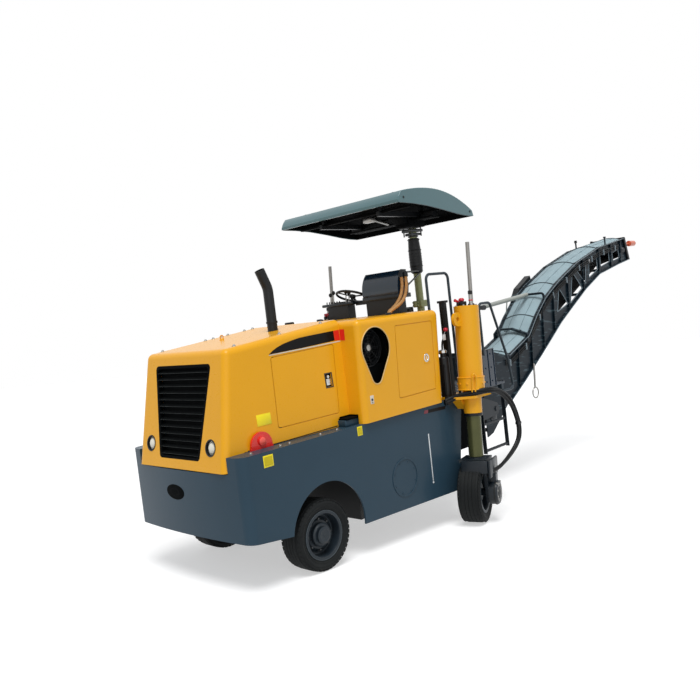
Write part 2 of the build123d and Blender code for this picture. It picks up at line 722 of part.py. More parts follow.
def turned(shape, side):
    """A rear wheel piece, mirrored for the right leg and turned to its parked steering angle."""
    piece = shape if side > 0 else flip(shape)
    pivot = Vector(leg_x, side * leg_y, 0)
    return Location(pivot) * Location((0, 0, 0), (0, 0, rear_steer_rest)) * Location(-pivot) * piece


# ---------------------------------------------------------------- operator's station
def platform():
    """Deck plate behind the rear box with its side guards."""
    notch = -1750
    outline = [(box_rear_x - 6, 690), (notch, 690), (notch, deck_half), (deck_rear_x, deck_half),
               (deck_rear_x, -deck_half), (notch, -deck_half), (notch, -690), (box_rear_x - 6, -690)]
    deck = prism_xy(outline, body_top, body_top + deck_plate)
    guards = []
    for side in (1, -1):
        low, high = sorted((side * (deck_half - 6), side * deck_half))
        guards.append(block(-2250, -2020, low, high, body_top, 1555))
        low, high = sorted((side * (deck_half - 26), side * deck_half))
        guards += [block(-2250, -2230, low, high, body_top, 1555), block(-2150, -2130, low, high, body_top, 1555)]
    return join([deck] + guards)


def filter_tower():
    """Left post and oil filter that stand on the column's shelf behind the rear box."""
    foot = body_top + shelf_plate
    post = block(tower_x - 24, tower_x + 24, tower_y - 30, tower_y + 30, foot, 2118)
    head = block(tower_x - 34, tower_x + 34, tower_y - 44, tower_y + 44, 2118, 2142)
    bowl_x = tower_x + 24 + 62
    bowl = fillet(post_z(bowl_x, tower_y, foot, 1574, 56).edges().sort_by(Axis.Z)[-1], 18)
    neck = post_z(bowl_x, tower_y, 1574, 1604, 30)
    cap = post_z(bowl_x, tower_y, 1604, 1632, 42)
    straps = [block(tower_x + 20, bowl_x, tower_y - 20, tower_y + 20, z, z + 26) for z in (1280, 1470)]
    return join([post, head, bowl, neck, cap] + straps)


def console():
    """Instrument pedestal, tray and control box base."""
    base = block(-1250, -1130, 0, 450, box_top_z, 2225)
    panel = block(-1300, -1106, -20, 484, 2225, 2262)
    pedestal = block(-1235, -1120, -585, -270, box_top_z, 2216)
    tray = fillet(block(-1280, -1080, -626, -153, 2216, 2240).edges().filter_by(Axis.Z), 24)
    bridge = block(-1230, -1140, -165, 2, 2196, 2226)
    column = rod((-1145.67, -225, 2239.73), (-1164.2, -225, 2285.6), 18)
    return join([base, panel, pedestal, tray, bridge, column])


def steering_wheel():
    """Ring, hub and three spokes."""
    ring = Torus(177, 13)
    hub = Cylinder(34, 30)
    spokes = [Rot(0, 0, a) * Pos(96, 0, 0) * Box(150, 22, 8) for a in (90, 210, 330)]
    wheel = join([ring, hub] + spokes)
    return Pos(-1170, -225, 2300) * Rot(0, -22, 0) * wheel


def console_cover():
    """Lid of the control box with a rounded front."""
    outline = Polyline((-1240, 2262.3), (-1240, 2500), (-1190, 2508))
    front = ThreePointArc((-1190, 2508), (-1128, 2420), (-1112, 2262.3))
    foot = Line((-1112, 2262.3), (-1240, 2262.3))
    face = make_face([Plane.XZ * e for e in (outline.edges() + front.edges() + foot.edges())])
    lid = extrude(face, amount=-500, dir=(0, -1, 0))
    return Pos(0, -18, 0) * lid


def seat():
    """Seat on a short pedestal on the deck."""
    foot = block(-1840, -1560, -410, -40, body_top + deck_plate, body_top + deck_plate + 20)
    stem = block(-1750, -1650, -275, -175, body_top + deck_plate + 20, 1560)
    pan = fillet(block(-1890, -1490, -450, 0, 1560, 1650).edges().filter_by(Axis.Z), 50)
    back = fillet(block(-1960, -1886, -440, -10, 1600, 2140).edges().filter_by(Axis.X), 60)
    return join([foot, stem, pan, back])


def canopy_post():
    """Post from the deck to the bracket under the canopy."""
    floor = body_top + deck_plate
    base = block(post_x - 90, post_x + 90, post_y - 90, post_y + 90, floor, floor + 16)
    tube = post_z(post_x, post_y, floor + 16, 2960, post_radius)
    return base.fuse(tube)


def post_boot():
    """Rubber boot over the head of the post."""
    profile = [(post_radius + 0.4, 2480), (64, 2480), (70, 2560), (68, 2720), (58, 2850), (post_radius + 0.4, 2850)]
    outline = Polyline(*[(r, 0, z) for r, z in profile], close=True)
    return Pos(post_x, post_y, 0) * revolve(make_face(outline), axis=Axis.Z)


def canopy_solid(inset, half, foot):
    """Wing section under the crown's arcs, drawn across the canopy; foot is its lower (x, z) edge."""
    front, rear = (-818 - inset, 3150 - inset), (-2015 + inset, 3065 - inset)
    crown = [((-880, 3236), (-850, 3204), front), ((-1310, 3274), (-1100, 3266), (-880, 3236)),
             (rear, (-1718, 3206), (-1310, 3274))]
    edges = []
    for start, middle, end in crown:
        low = [(x, z - inset if (x, z) not in (front, rear) else z) for x, z in (start, middle, end)]
        edges.append(ThreePointArc(*[(x, -half, z) for x, z in low]))
    lower = [front] + foot + [rear]
    edges.append(Polyline(*[(x, -half, z) for x, z in lower]))
    return extrude(make_face(edges), amount=2 * half, dir=(0, 1, 0))


def canopy():
    """Roof tray: wing-shaped crown, deep rims, open below."""
    foot = [(-818, 3122), (-1020, 3117), (-1240, 3100), (-1500, 3064), (-1720, 3028), (-1880, 3008), (-2036, 3000)]
    shell = canopy_solid(0, canopy_half, foot)
    ends = [e for e in shell.edges() if abs(abs(e.center().Y) - canopy_half) < 1 and e.center().Z > 3150]
    return fillet(ends, canopy_rim) - canopy_room()


def canopy_room():
    """Space under the crown."""
    foot = [(-828, 3000), (-1199, 3000), (-1518, 2990), (-1769, 2960), (-2005, 2960)]
    return canopy_solid(canopy_skin, canopy_half - canopy_skin, foot)


def canopy_frame():
    """Bracket on the post and the two ribs under the crown."""
    bracket = block(post_x - 70, post_x + 140, post_y - 70, post_y + 70, 2960, 3060)
    cross = block(post_x - 40, post_x + 40, -600, 600, 3040, 3100)
    ribs = [block(-1900, -1000, y - 20, y + 20, 3060, 3110) for y in (-420, 420)]
    props = [block(x - 20, x + 20, y - 20, y + 20, 3100, 3300) & canopy_room() for x in (-1060, -1700)
             for y in (-420, 420)]
    return join([bracket, cross] + ribs + props)


def handrails():
    """Bent tube rails beside the deck, and the grab rail on the left of the rear box."""
    grab = [(-1170, rail_y, box_top_z), (-1170, rail_y, 2420), (-1530, rail_y, 2420), (-1530, rail_y, body_top + 26)]
    rails = [pipe(grab, rail_radius, 60)]
    for side in (1, -1):
        y = side * (deck_half + rail_radius + 6)
        rear = [(-2035, y, 1500), (-2035, y, 2062), (-2245, y, 2062), (-2500, y, 1400), (-2560, y, 1060),
                (-2330, y, 1060)]
        rear_rail = pipe(rear, rail_radius, 55)
        low, high = sorted((side * deck_half, side * (deck_half + 12)))
        upper_pad = block(-2055, -2020, low, high, 1495, 1545)
        rear_rail = join([rear_rail, upper_pad, block(-2370, -2330, low, high, 1046, 1076)])
        low, high = sorted((side * (deck_half - 40), side * (deck_half + 12)))
        rails.append(rear_rail.fuse(block(-2370, -2330, low, high, 1076, body_top)))
    return Compound(rails)


def ladder():
    """Two rungs between flat stiles on the left of the deck."""
    y = deck_half - 22
    stiles = [block(x - 6, x + 6, y - 22, y + 22, 430, body_top) for x in (-1940, -2380)]
    rungs = [rod((-1940, y, z), (-2380, y, z), 13) for z in (750, 460)]
    return join(stiles + rungs)


# ---------------------------------------------------------------- discharge conveyor
boom_top = [(-2767, 1472), (-3070, 1431), (-3381, 1347), (-3900, 1545), (-4150, 1790), (-4417, 2005), (-4815, 2211),
            (-5404, 2450), (-6174, 2660), (-7130, 2790)]
boom_foot = [(-7240, 2445), (-6792, 2376), (-6122, 2254), (-5622, 2055), (-5177, 1834), (-4790, 1638), (-4211, 1280),
             (-3743, 1004), (-3323, 773), (-2888, 450), (-2767, 419)]
boom_windows = [[(-4760, 1790), (-4860, 2120), (-5080, 1880)], [(-5163, 1884), (-5295, 2325), (-5560, 2075)],
                [(-5405, 2365), (-5735, 2470), (-5680, 2135)],
                [(-5850, 2505), (-6110, 2575), (-6110, 2325), (-5810, 2215)],
                [(-6230, 2600), (-6540, 2645), (-6540, 2430), (-6230, 2365)],
                [(-6660, 2560), (-6890, 2620), (-6910, 2480), (-6680, 2440)]]
cross_tubes = [(-2820, 1400, 24), (-2820, 500, 24), (-3590, 955, 22), (-4500, 1510, 24), (-5400, 1990, 20),
               (-6140, 2315, 20)]  # x, z, radius
belt_line = [(-2925, 645), (-3307, 948), (-4761, 1857), (-6135, 2473), (-7064, 2604)]
bracket_x = -3890.0            # flat bracket over the cover
hoop_x = -4400.0               # hoop that carries the hose arm
hoop_z = 2078.0
hook_x = -3930.0


def along_line(points, half, y_low, y_high):
    """Band of constant thickness along (x, z) points, with round ends."""
    upper, lower = [], []
    for i, (x, z) in enumerate(points):
        before = points[max(i - 1, 0)]
        after = points[min(i + 1, len(points) - 1)]
        run = Vector(x - before[0], 0, z - before[1])
        ahead = Vector(after[0] - x, 0, after[1] - z)
        run = ahead if i == 0 else run
        ahead = run if i == len(points) - 1 else ahead
        mid = (run.normalized() + ahead.normalized()).normalized()
        reach = half / max(mid.dot(run.normalized()), 0.5)
        upper.append((x + mid.Z * reach, z - mid.X * reach))
        lower.append((x - mid.Z * reach, z + mid.X * reach))
    band = prism_xz(upper + lower[::-1], y_low, y_high)
    ends = [disc_y(points[i][0], y_low, y_high, points[i][1], half) for i in (0, -1)]
    return join([band] + ends)


def conveyor_yoke():
    """Slewing hub with a cross plate and two arms that carry the boom's pins."""
    hub = post_z(slew_x, 0, hub_foot_z, hub_top_z, slew_pin_radius + 38)
    arm_in = boom_half + 16
    arm_out = arm_in + yoke_plate
    cross = block(slew_x - 100, slew_x - 76, -arm_out, arm_out, hub_foot_z, hub_top_z)
    neck = block(slew_x - 80, slew_x, -60, 60, hub_foot_z, hub_top_z)
    pieces = [hub, cross, neck]
    outline = [(slew_x - 76, hub_foot_z), (slew_x - 76, hub_top_z), (luff_x - 30, luff_z + 70), (luff_x - 70, luff_z),
               (luff_x - 30, luff_z - 70)]
    for side in (1, -1):
        low, high = sorted((side * arm_in, side * arm_out))
        pieces.append(prism_xz(outline, low, high))
        low, high = sorted((side * (boom_half - 30), side * (arm_out + 12)))
        pieces.append(disc_y(luff_x, low, high, luff_z, luff_pin_radius))
    return join(pieces) - post_z(slew_x, 0, 0, 2000, slew_pin_radius + running_gap)


def prism_yz(points, x_low, x_high):
    """Outline of (y, z) points, drawn out along X."""
    outline = Polyline(*[(x_low, y, z) for y, z in points], close=True)
    return extrude(make_face(outline), amount=x_high - x_low, dir=(1, 0, 0))


def side_plate():
    """Left side plate of the boom with its truss windows, top flange and pin boss."""
    plate_part = prism_xz(boom_top + boom_foot, boom_half - boom_plate, boom_half)
    for window in boom_windows:
        plate_part = plate_part - prism_xz(window, boom_half - 40, boom_half + 40)
    for line, drop in ((boom_top[2:], -boom_flange), (boom_foot[:-2], boom_flange)):
        band = line + [(x, z + drop) for x, z in reversed(line)]
        plate_part = plate_part.fuse(prism_xz(band, boom_half, boom_half + boom_flange_width))
    bore = disc_y(luff_x, boom_half - 60, boom_half + 60, luff_z, luff_pin_radius + running_gap)
    boss = disc_y(luff_x, boom_half - boom_plate, boom_half + 6, luff_z, luff_pin_radius + 30)
    return plate_part.fuse(boss) - bore


def conveyor_boom():
    """Two swan-neck side plates joined by cross tubes, with the brackets that stand over the cover."""
    left = side_plate()
    pieces = [left, flip(left)]
    for x, z, r in cross_tubes:
        pieces.append(rod((x, -boom_half, z), (x, boom_half, z), r))
    rear_x = boom_top[0][0]
    pieces.append(block(rear_x - 12, rear_x, -boom_half, boom_half, 900, 1470))
    leg = boom_half + 22
    outer = [(-leg, 1470), (-leg, 1600), (-leg + 60, 1664), (20, 1664), (150, 1618), (leg, 1578), (leg, 1470)]
    inner = [(boom_half, 1470), (boom_half, 1560), (140, 1592), (10, 1638), (-leg + 72, 1636), (-boom_half, 1590),
             (-boom_half, 1470)]
    pieces.append(prism_yz(outer + inner, bracket_x - 25, bracket_x + 25))
    y = boom_half + 12
    foot = 1900
    pieces.append(pipe([(hoop_x, -y, foot), (hoop_x, -y, hoop_z), (hoop_x, y, hoop_z), (hoop_x, y, foot)], 16, 40))
    for side in (1, -1):
        post_y = side * (boom_half + 2)
        pieces.append(rod((-6450, post_y, 2690), (-6450, post_y, 2812), 12))
        pieces.append(rod((-6450, post_y, 2800), (-6450, post_y, 2822), 20))
    return join(pieces)


def tow_hook():
    """Strap and ring that hang from the left side plate."""
    y = boom_half + boom_flange_width + 0.3
    strap = prism_xz([(hook_x - 16, 1160), (hook_x + 16, 1176), (hook_x + 40, 852), (hook_x + 14, 850)], y, y + 12)
    ring = Pos(hook_x + 27, y + 6, 786) * Rot(90, 0, 0) * Torus(70, 9)
    return strap.fuse(ring)


def side_box():
    """Closed box along the outside of the right side plate."""
    y = -boom_half - boom_flange_width - 0.3
    outline = [(-4520, 1930), (-4560, 2050), (-4660, 2180), (-4990, 2345), (-5030, 2230)]
    return prism_xz(outline, y - 90, y)


def boom_stay():
    """Hose arm that reaches forward from the hoop, with its brace."""
    tip_x, tip_z = -3256, 1990
    arm = rod((hoop_x, 0, hoop_z), (tip_x, 0, tip_z), 28) - rod((hoop_x, -60, hoop_z), (hoop_x, 60, hoop_z), 16.3)
    arm = arm - block(hoop_x - 100, hoop_x, -60, 60, hoop_z - 90, hoop_z + 110)
    fork = block(tip_x - 44, tip_x + 66, -30, 30, tip_z - 26, tip_z + 22)
    brace = rod((-3880, 0, 2036), (-4196, -boom_half + boom_plate / 2, 1842), 8)
    return join([arm, fork, brace])


def conveyor_belt():
    """Endless belt round head and tail drums."""
    outer = along_line(belt_line, belt_half, -belt_width / 2, belt_width / 2)
    inner = along_line(belt_line, belt_half - belt_thick, -belt_width, belt_width)
    return outer - inner


def belt_drums():
    """Head and tail drums with their shafts in the side plates."""
    drums = []
    for x, z in (belt_line[0], belt_line[-1]):
        barrel = disc_y(x, -belt_width / 2, belt_width / 2, z, belt_half - belt_thick - 0.3)
        shaft = disc_y(x, -boom_half + boom_plate, boom_half - boom_plate, z, 30)
        drums.append(barrel.fuse(shaft))
    return Compound(drums)


def conveyor_cover():
    """Canvas hood over the belt, arched between the side plates."""
    sections = []
    for x, z in boom_top[1:-1] + [(-7090, 2784)]:
        y = boom_half - boom_plate - 0.3
        z = z - 12
        outer = ThreePointArc((x, -y, z), (x, 0, z + cover_rise), (x, y, z))
        inner = ThreePointArc((x, y - 8, z), (x, 0, z + cover_rise - 8), (x, -y + 8, z))
        sections.append(make_face([outer, Line((x, y, z), (x, y - 8, z)), inner, Line((x, -y + 8, z), (x, -y, z))]))
    return loft(sections, ruled=True)


def beacon():
    """Round lamp on a long stem behind the head of the boom."""
    y, z = boom_half - boom_plate - 24, 2704
    foot = block(-7150, -7122, y - 12, boom_half - boom_plate, z - 14, z + 18)
    collar = rod((-7384, y, z), (-7410, y, z), 34)
    dome = rod((-7410, y, z), (-7610, y, z), 46)
    dome = fillet(dome.edges().filter_by(GeomType.CIRCLE).sort_by(Axis.X)[0], 30)
    return join([foot, rod((-7130, y, z), (-7400, y, z), 13), collar, dome])


# ---------------------------------------------------------------- assembly
def build():
    """File every node, standing as the machine parks."""
    on_body = {
        "lower_body": lower_body(), "main_frame": main_frame(), "drum_housing": drum_housing(),
        "milling_drum": milling_drum(), "engine_hood": engine_hood(), "grille": grille(),
        "headlights": headlights(), "rear_box": rear_box(), "oil_cooler": oil_cooler(),
        "engine_block": engine_block(), "exhaust_stack": exhaust(), "front_axle": front_axle(),
        "operator_deck": platform(), "console": console(), "console_cover": console_cover(),
        "steering_wheel": steering_wheel(), "operator_seat": seat(), "canopy_post": canopy_post(),
        "post_boot": post_boot(), "canopy": canopy(), "canopy_frame": canopy_frame(),
        "handrails": handrails(), "ladder": ladder(), "conveyor_yoke": conveyor_yoke(),
        "conveyor_boom": conveyor_boom(), "boom_stay": boom_stay(), "conveyor_belt": conveyor_belt(),
        "belt_drums": belt_drums(), "conveyor_cover": conveyor_cover(), "beacon": beacon(),
        "tow_hook": tow_hook(), "side_box": side_box(),
    }
    for name, shape in on_body.items():
        keep(name, stand(shape))
    pairs = {"engine_door": hood_door(), "tank_door": tank_door(), "front_knuckle": front_knuckle(),
             "tie_lug": tie_lug(), "filter_tower": filter_tower(),
             "front_tyre": tyre((front_axle_x, front_track_half, tyre_radius)),
             "front_rim": Pos(front_axle_x, front_track_half, tyre_radius) * rim(20, 84, rim_bore, False)}
    for name, shape in pairs.items():
        keep(name + "_left", stand(shape))
        keep(name + "_right", stand(flip(shape)))
    keep("leg_column_left", leg_column())
    keep("leg_column_right", flip(leg_column()))
    keep("height_rods", height_rods())
    rear_middle = (leg_x, leg_y - rear_tyre_inset, tyre_radius)
    for side, word in ((1, "left"), (-1, "right")):
        keep("leg_tube_" + word, rear_leg() if side > 0 else flip(rear_leg()))
        keep("rear_fork_" + word, turned(rear_fork(), side))
        keep("rear_tyre_" + word, turned(tyre(rear_middle), side))
        keep("rear_rim_" + word, turned(Pos(*rear_middle) * rim(60, 60, rim_bore, True), side))


build()
os.makedirs("parts", exist_ok=True)
for node, shape in parts.items():
    export_step(shape, f"parts/{node}.step")
whole = Compound([s for s in parts.values()]).bounding_box()
print("box", whole.min, whole.max)
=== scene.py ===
"""Looks of a four-wheeled cold planer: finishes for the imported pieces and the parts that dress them.

Sizes are millimetres, and places and finished meshes are metres. Each sub-assembly is a class that
holds its sizes as fields and builds its meshes with bmesh operators. What the body carries is drawn
in the machine frame, level and with X forward, and Stance turns it to the way the machine parks, nose
down on its raised rear legs. What the rear legs carry is drawn straight in the standing frame.
"""

import json
import logging
import math
from dataclasses import dataclass, field
from enum import Enum

import bmesh
import bpy
from mathutils import Matrix, Vector

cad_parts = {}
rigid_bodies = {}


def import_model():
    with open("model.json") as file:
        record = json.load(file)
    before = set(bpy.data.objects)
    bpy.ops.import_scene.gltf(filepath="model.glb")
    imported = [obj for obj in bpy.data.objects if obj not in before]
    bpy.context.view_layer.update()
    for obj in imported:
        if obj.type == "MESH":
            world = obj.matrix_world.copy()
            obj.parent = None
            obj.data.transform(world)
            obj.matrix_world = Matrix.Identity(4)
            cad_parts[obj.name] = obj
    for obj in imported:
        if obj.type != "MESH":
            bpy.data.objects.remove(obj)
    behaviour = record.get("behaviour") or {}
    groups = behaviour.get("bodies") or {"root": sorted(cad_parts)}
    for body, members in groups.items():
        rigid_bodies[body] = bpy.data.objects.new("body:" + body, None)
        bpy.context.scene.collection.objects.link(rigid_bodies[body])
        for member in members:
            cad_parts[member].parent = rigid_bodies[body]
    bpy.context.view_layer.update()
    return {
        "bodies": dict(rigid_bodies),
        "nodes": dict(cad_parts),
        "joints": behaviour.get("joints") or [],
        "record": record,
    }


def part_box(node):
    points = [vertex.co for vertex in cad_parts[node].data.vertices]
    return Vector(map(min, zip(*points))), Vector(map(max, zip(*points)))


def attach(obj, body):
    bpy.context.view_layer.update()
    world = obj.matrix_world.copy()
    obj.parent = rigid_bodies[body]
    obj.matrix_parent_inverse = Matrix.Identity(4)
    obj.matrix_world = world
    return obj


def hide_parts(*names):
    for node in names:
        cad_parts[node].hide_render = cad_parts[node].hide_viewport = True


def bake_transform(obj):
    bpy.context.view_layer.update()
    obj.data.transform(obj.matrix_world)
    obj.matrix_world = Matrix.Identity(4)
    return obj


Point = tuple[float, float, float]
Flat = tuple[float, float]
Colour = tuple[float, float, float]
Sock = bpy.types.NodeSocket
Node = bpy.types.Node
Tree = bpy.types.NodeTree
Piece = bpy.types.Object
LOG = logging.getLogger("planer")


def linear(red: int, green: int, blue: int) -> Colour:
    """Linear colour of a display colour given as three bytes.

    Args:
        red: Red, 0 to 255.
        green: Green, 0 to 255.
        blue: Blue, 0 to 255.

    Returns:
        The three linear channels.
    """
    channels = []
    for byte in (red, green, blue):
        share = byte / 255
        channels.append(share / 12.92 if share <= 0.04045 else ((share + 0.055) / 1.055) ** 2.4)
    return tuple(channels)


# ---- node trees
class Graph:
    """A node tree with short calls to add nodes and links."""

    def __init__(self, tree: Tree) -> None:
        """Keep the tree."""
        self.tree = tree

    def node(self, kind: str, inputs: dict | None = None, **settings: object) -> Node:
        """Add a node.

        Args:
            kind: Blender's name of the node type, after ShaderNode.
            inputs: Socket name or index to a value, or to an output socket to link from.
            **settings: Properties of the node itself.

        Returns:
            The new node.
        """
        made = self.tree.nodes.new("ShaderNode" + kind)
        for name, value in settings.items():
            setattr(made, name, value)
        for name, value in (inputs or {}).items():
            if isinstance(value, Sock):
                self.tree.links.new(value, made.inputs[name])
            else:
                made.inputs[name].default_value = value
        return made

    def link(self, node: Node, ends: dict[str, Sock]) -> None:
        """Link sockets to a node's inputs, given by name."""
        for name, socket in ends.items():
            self.tree.links.new(socket, node.inputs[name])

    def place(self) -> Sock:
        """The piece's own coordinates."""
        return self.node("TexCoord").outputs["Object"]

    def maths(self, operation: str, first: object, second: object = 0.5, clamp: bool = False) -> Sock:
        """A Math node's result on two values or sockets."""
        return self.node("Math", {0: first, 1: second}, operation=operation, use_clamp=clamp).outputs[0]

    def blend(self, share: object, first: object, second: object) -> Sock:
        """Mix two colours.

        Args:
            share: How much of the second colour shows, as a value or socket.
            first: Colour or socket.
            second: Colour or socket.

        Returns:
            The mixed colour's socket.
        """
        mixed = self.node("Mix", data_type="RGBA")
        for name, value in (("Factor_Float", share), ("A_Color", first), ("B_Color", second)):
            socket = next(s for s in mixed.inputs if s.identifier == name)
            if isinstance(value, Sock):
                self.tree.links.new(value, socket)
            else:
                socket.default_value = value
        return next(s for s in mixed.outputs if s.identifier == "Result_Color")

    def spread(self, value: object, low: float, high: float, start: float = 0.0, end: float = 1.0) -> Sock:
        """Map a value from one range to another, clamped."""
        return self.node("MapRange", {0: value, 1: low, 2: high, 3: start, 4: end}).outputs[0]

    def noise(self, where: object, scale: object, detail: float = 4.0) -> Sock:
        """Add a noise texture."""
        return self.node("TexNoise", {"Vector": where, "Scale": scale, "Detail": detail}).outputs["Fac"]


class Socket(Enum):
    """Kinds of socket on a node group."""

    VALUE = "NodeSocketFloat"
    COLOUR = "NodeSocketColor"
    VECTOR = "NodeSocketVector"


def group(name: str, takes: dict[str, Socket], gives: dict[str, Socket]) -> tuple[Graph,
        bpy.types.bpy_prop_collection, Node]:
    """Start a shader node group with named sockets.

    Args:
        name: The group's name.
        takes: Input names and kinds.
        gives: Output names and kinds.

    Returns:
        The graph, its inputs' sockets and its output node.
    """
    tree = bpy.data.node_groups.new(name, "ShaderNodeTree")
    for title, kind in takes.items():
        tree.interface.new_socket(title, in_out="INPUT", socket_type=kind.value)
    for title, kind in gives.items():
        tree.interface.new_socket(title, in_out="OUTPUT", socket_type=kind.value)
    return Graph(tree), tree.nodes.new("NodeGroupInput").outputs, tree.nodes.new("NodeGroupOutput")


def edge_group() -> Tree:
    """Edges: a normal that rounds sharp edges, and a mask of where they rub bare.

    Returns:
        The group.
    """
    graph, given, out = group("Edges", {"Width": Socket.VALUE, "Amount": Socket.VALUE},
        {"Mask": Socket.VALUE, "Normal": Socket.VECTOR})
    place = graph.place()
    bevel = graph.node("Bevel", {"Radius": given["Width"]}, samples=4)
    true_normal = graph.node("NewGeometry").outputs["Normal"]
    lean = graph.node("VectorMath", {0: bevel.outputs[0], 1: true_normal}, operation="DOT_PRODUCT")
    edge = graph.spread(lean.outputs["Value"], 0.985, 0.86)
    broken = graph.spread(graph.noise(place, 34, 6), 0.5, 0.66)
    rubbed = graph.maths("MULTIPLY", graph.maths("MULTIPLY", edge, broken), given["Amount"])
    graph.link(out, {"Mask": rubbed, "Normal": bevel.outputs[0]})
    return graph.tree


def dust_group() -> Tree:
    """Dust: a mask that gathers on upward faces and towards the ground, broken by noise.

    Returns:
        The group.
    """
    graph, given, out = group("Dust", {"Amount": Socket.VALUE, "Splash Height": Socket.VALUE}, {"Mask": Socket.VALUE})
    place = graph.place()
    height = graph.node("SeparateXYZ", {0: place}).outputs["Z"]
    facing = graph.node("SeparateXYZ", {0: graph.node("NewGeometry").outputs["Normal"]})
    settled = graph.spread(facing.outputs["Z"], 0.3, 1, 0, 0.55)
    splash = graph.spread(height, given["Splash Height"], 0, 0, 0.8)
    cloud = graph.spread(graph.noise(place, 5, 8), 0.36, 0.72)
    speck = graph.spread(graph.noise(place, 70, 3), 0.35, 0.75, 0.5, 1)
    both = graph.maths("MAXIMUM", settled, splash)
    mask = graph.maths("MULTIPLY", graph.maths("MULTIPLY", both, cloud), speck)
    graph.link(out, {"Mask": graph.maths("MULTIPLY", mask, given["Amount"], True)})
    return graph.tree


def mottle_group() -> Tree:
    """Mottle: slow variation of a colour and of its roughness.

    Returns:
        The group.
    """
    graph, given, out = group("Mottle", {"Color": Socket.COLOUR, "Amount": Socket.VALUE, "Scale": Socket.VALUE,
        "Roughness": Socket.VALUE}, {"Color": Socket.COLOUR, "Roughness": Socket.VALUE})
    place = graph.place()
    slow = graph.noise(place, given["Scale"], 5)
    swing = graph.maths("MULTIPLY", graph.maths("SUBTRACT", slow, 0.5), given["Amount"])
    shade = graph.node("HueSaturation", {"Color": given["Color"], "Value": graph.maths("ADD", swing, 1)})
    fine = graph.noise(place, 90, 2)
    rough = graph.maths("MULTIPLY", given["Roughness"], graph.spread(fine, 0.3, 0.7, 0.88, 1.12))
    graph.link(out, {"Color": shade.outputs[0], "Roughness": rough})
    return graph.tree


def grain_group() -> Tree:
    """Grain: the height of a fine moulded, cast or sprayed surface.

    Returns:
        The group.
    """
    graph, given, out = group("Grain", {"Scale": Socket.VALUE, "Coarse": Socket.VALUE}, {"Height": Socket.VALUE})
    place = graph.place()
    fine = graph.noise(place, given["Scale"], 3)
    cells = graph.node("TexVoronoi", {"Vector": place, "Scale": given["Scale"]}).outputs["Distance"]
    rough = graph.maths("MULTIPLY", cells, given["Coarse"])
    graph.link(out, {"Height": graph.maths("ADD", fine, rough)})
    return graph.tree


def weave_group() -> Tree:
    """Weave: over-and-under threads, as a height and as a tint.

    Returns:
        The group.
    """
    graph, given, out = group("Weave", {"Threads": Socket.VALUE}, {"Height": Socket.VALUE, "Tint": Socket.VALUE})
    place = graph.place()
    parts = graph.node("SeparateXYZ", {0: place})
    waves = []
    for axis, other in (("X", "Y"), ("Y", "X")):
        along = graph.maths("MULTIPLY", parts.outputs[axis], given["Threads"])
        across = graph.maths("MULTIPLY", parts.outputs[other], given["Threads"])
        shift = graph.maths("MULTIPLY", graph.maths("FLOOR", across), math.pi)
        waves.append(graph.maths("SINE", graph.maths("ADD", graph.maths("MULTIPLY", along, math.pi), shift)))
    thread = graph.maths("MAXIMUM", waves[0], waves[1])
    fuzz = graph.maths("MULTIPLY", graph.noise(place, 900, 2), 0.6)
    tint = graph.spread(graph.noise(place, 6, 6), 0.3, 0.7)
    graph.link(out, {"Height": graph.maths("ADD", thread, fuzz), "Tint": tint})
    return graph.tree


GROUP_MAKERS = {"Edges": edge_group, "Dust": dust_group, "Mottle": mottle_group, "Grain": grain_group,
    "Weave": weave_group}


def placed(graph: Graph, name: str, inputs: dict) -> Node:
    """A shared node group in a material's graph, built the first time it is asked for."""
    return graph.node("Group", inputs, node_tree=bpy.data.node_groups.get(name) or GROUP_MAKERS[name]())


# ---- finishes
DUST_COLOUR = linear(128, 130, 126)
BARE_COLOUR = (96, 92, 88)


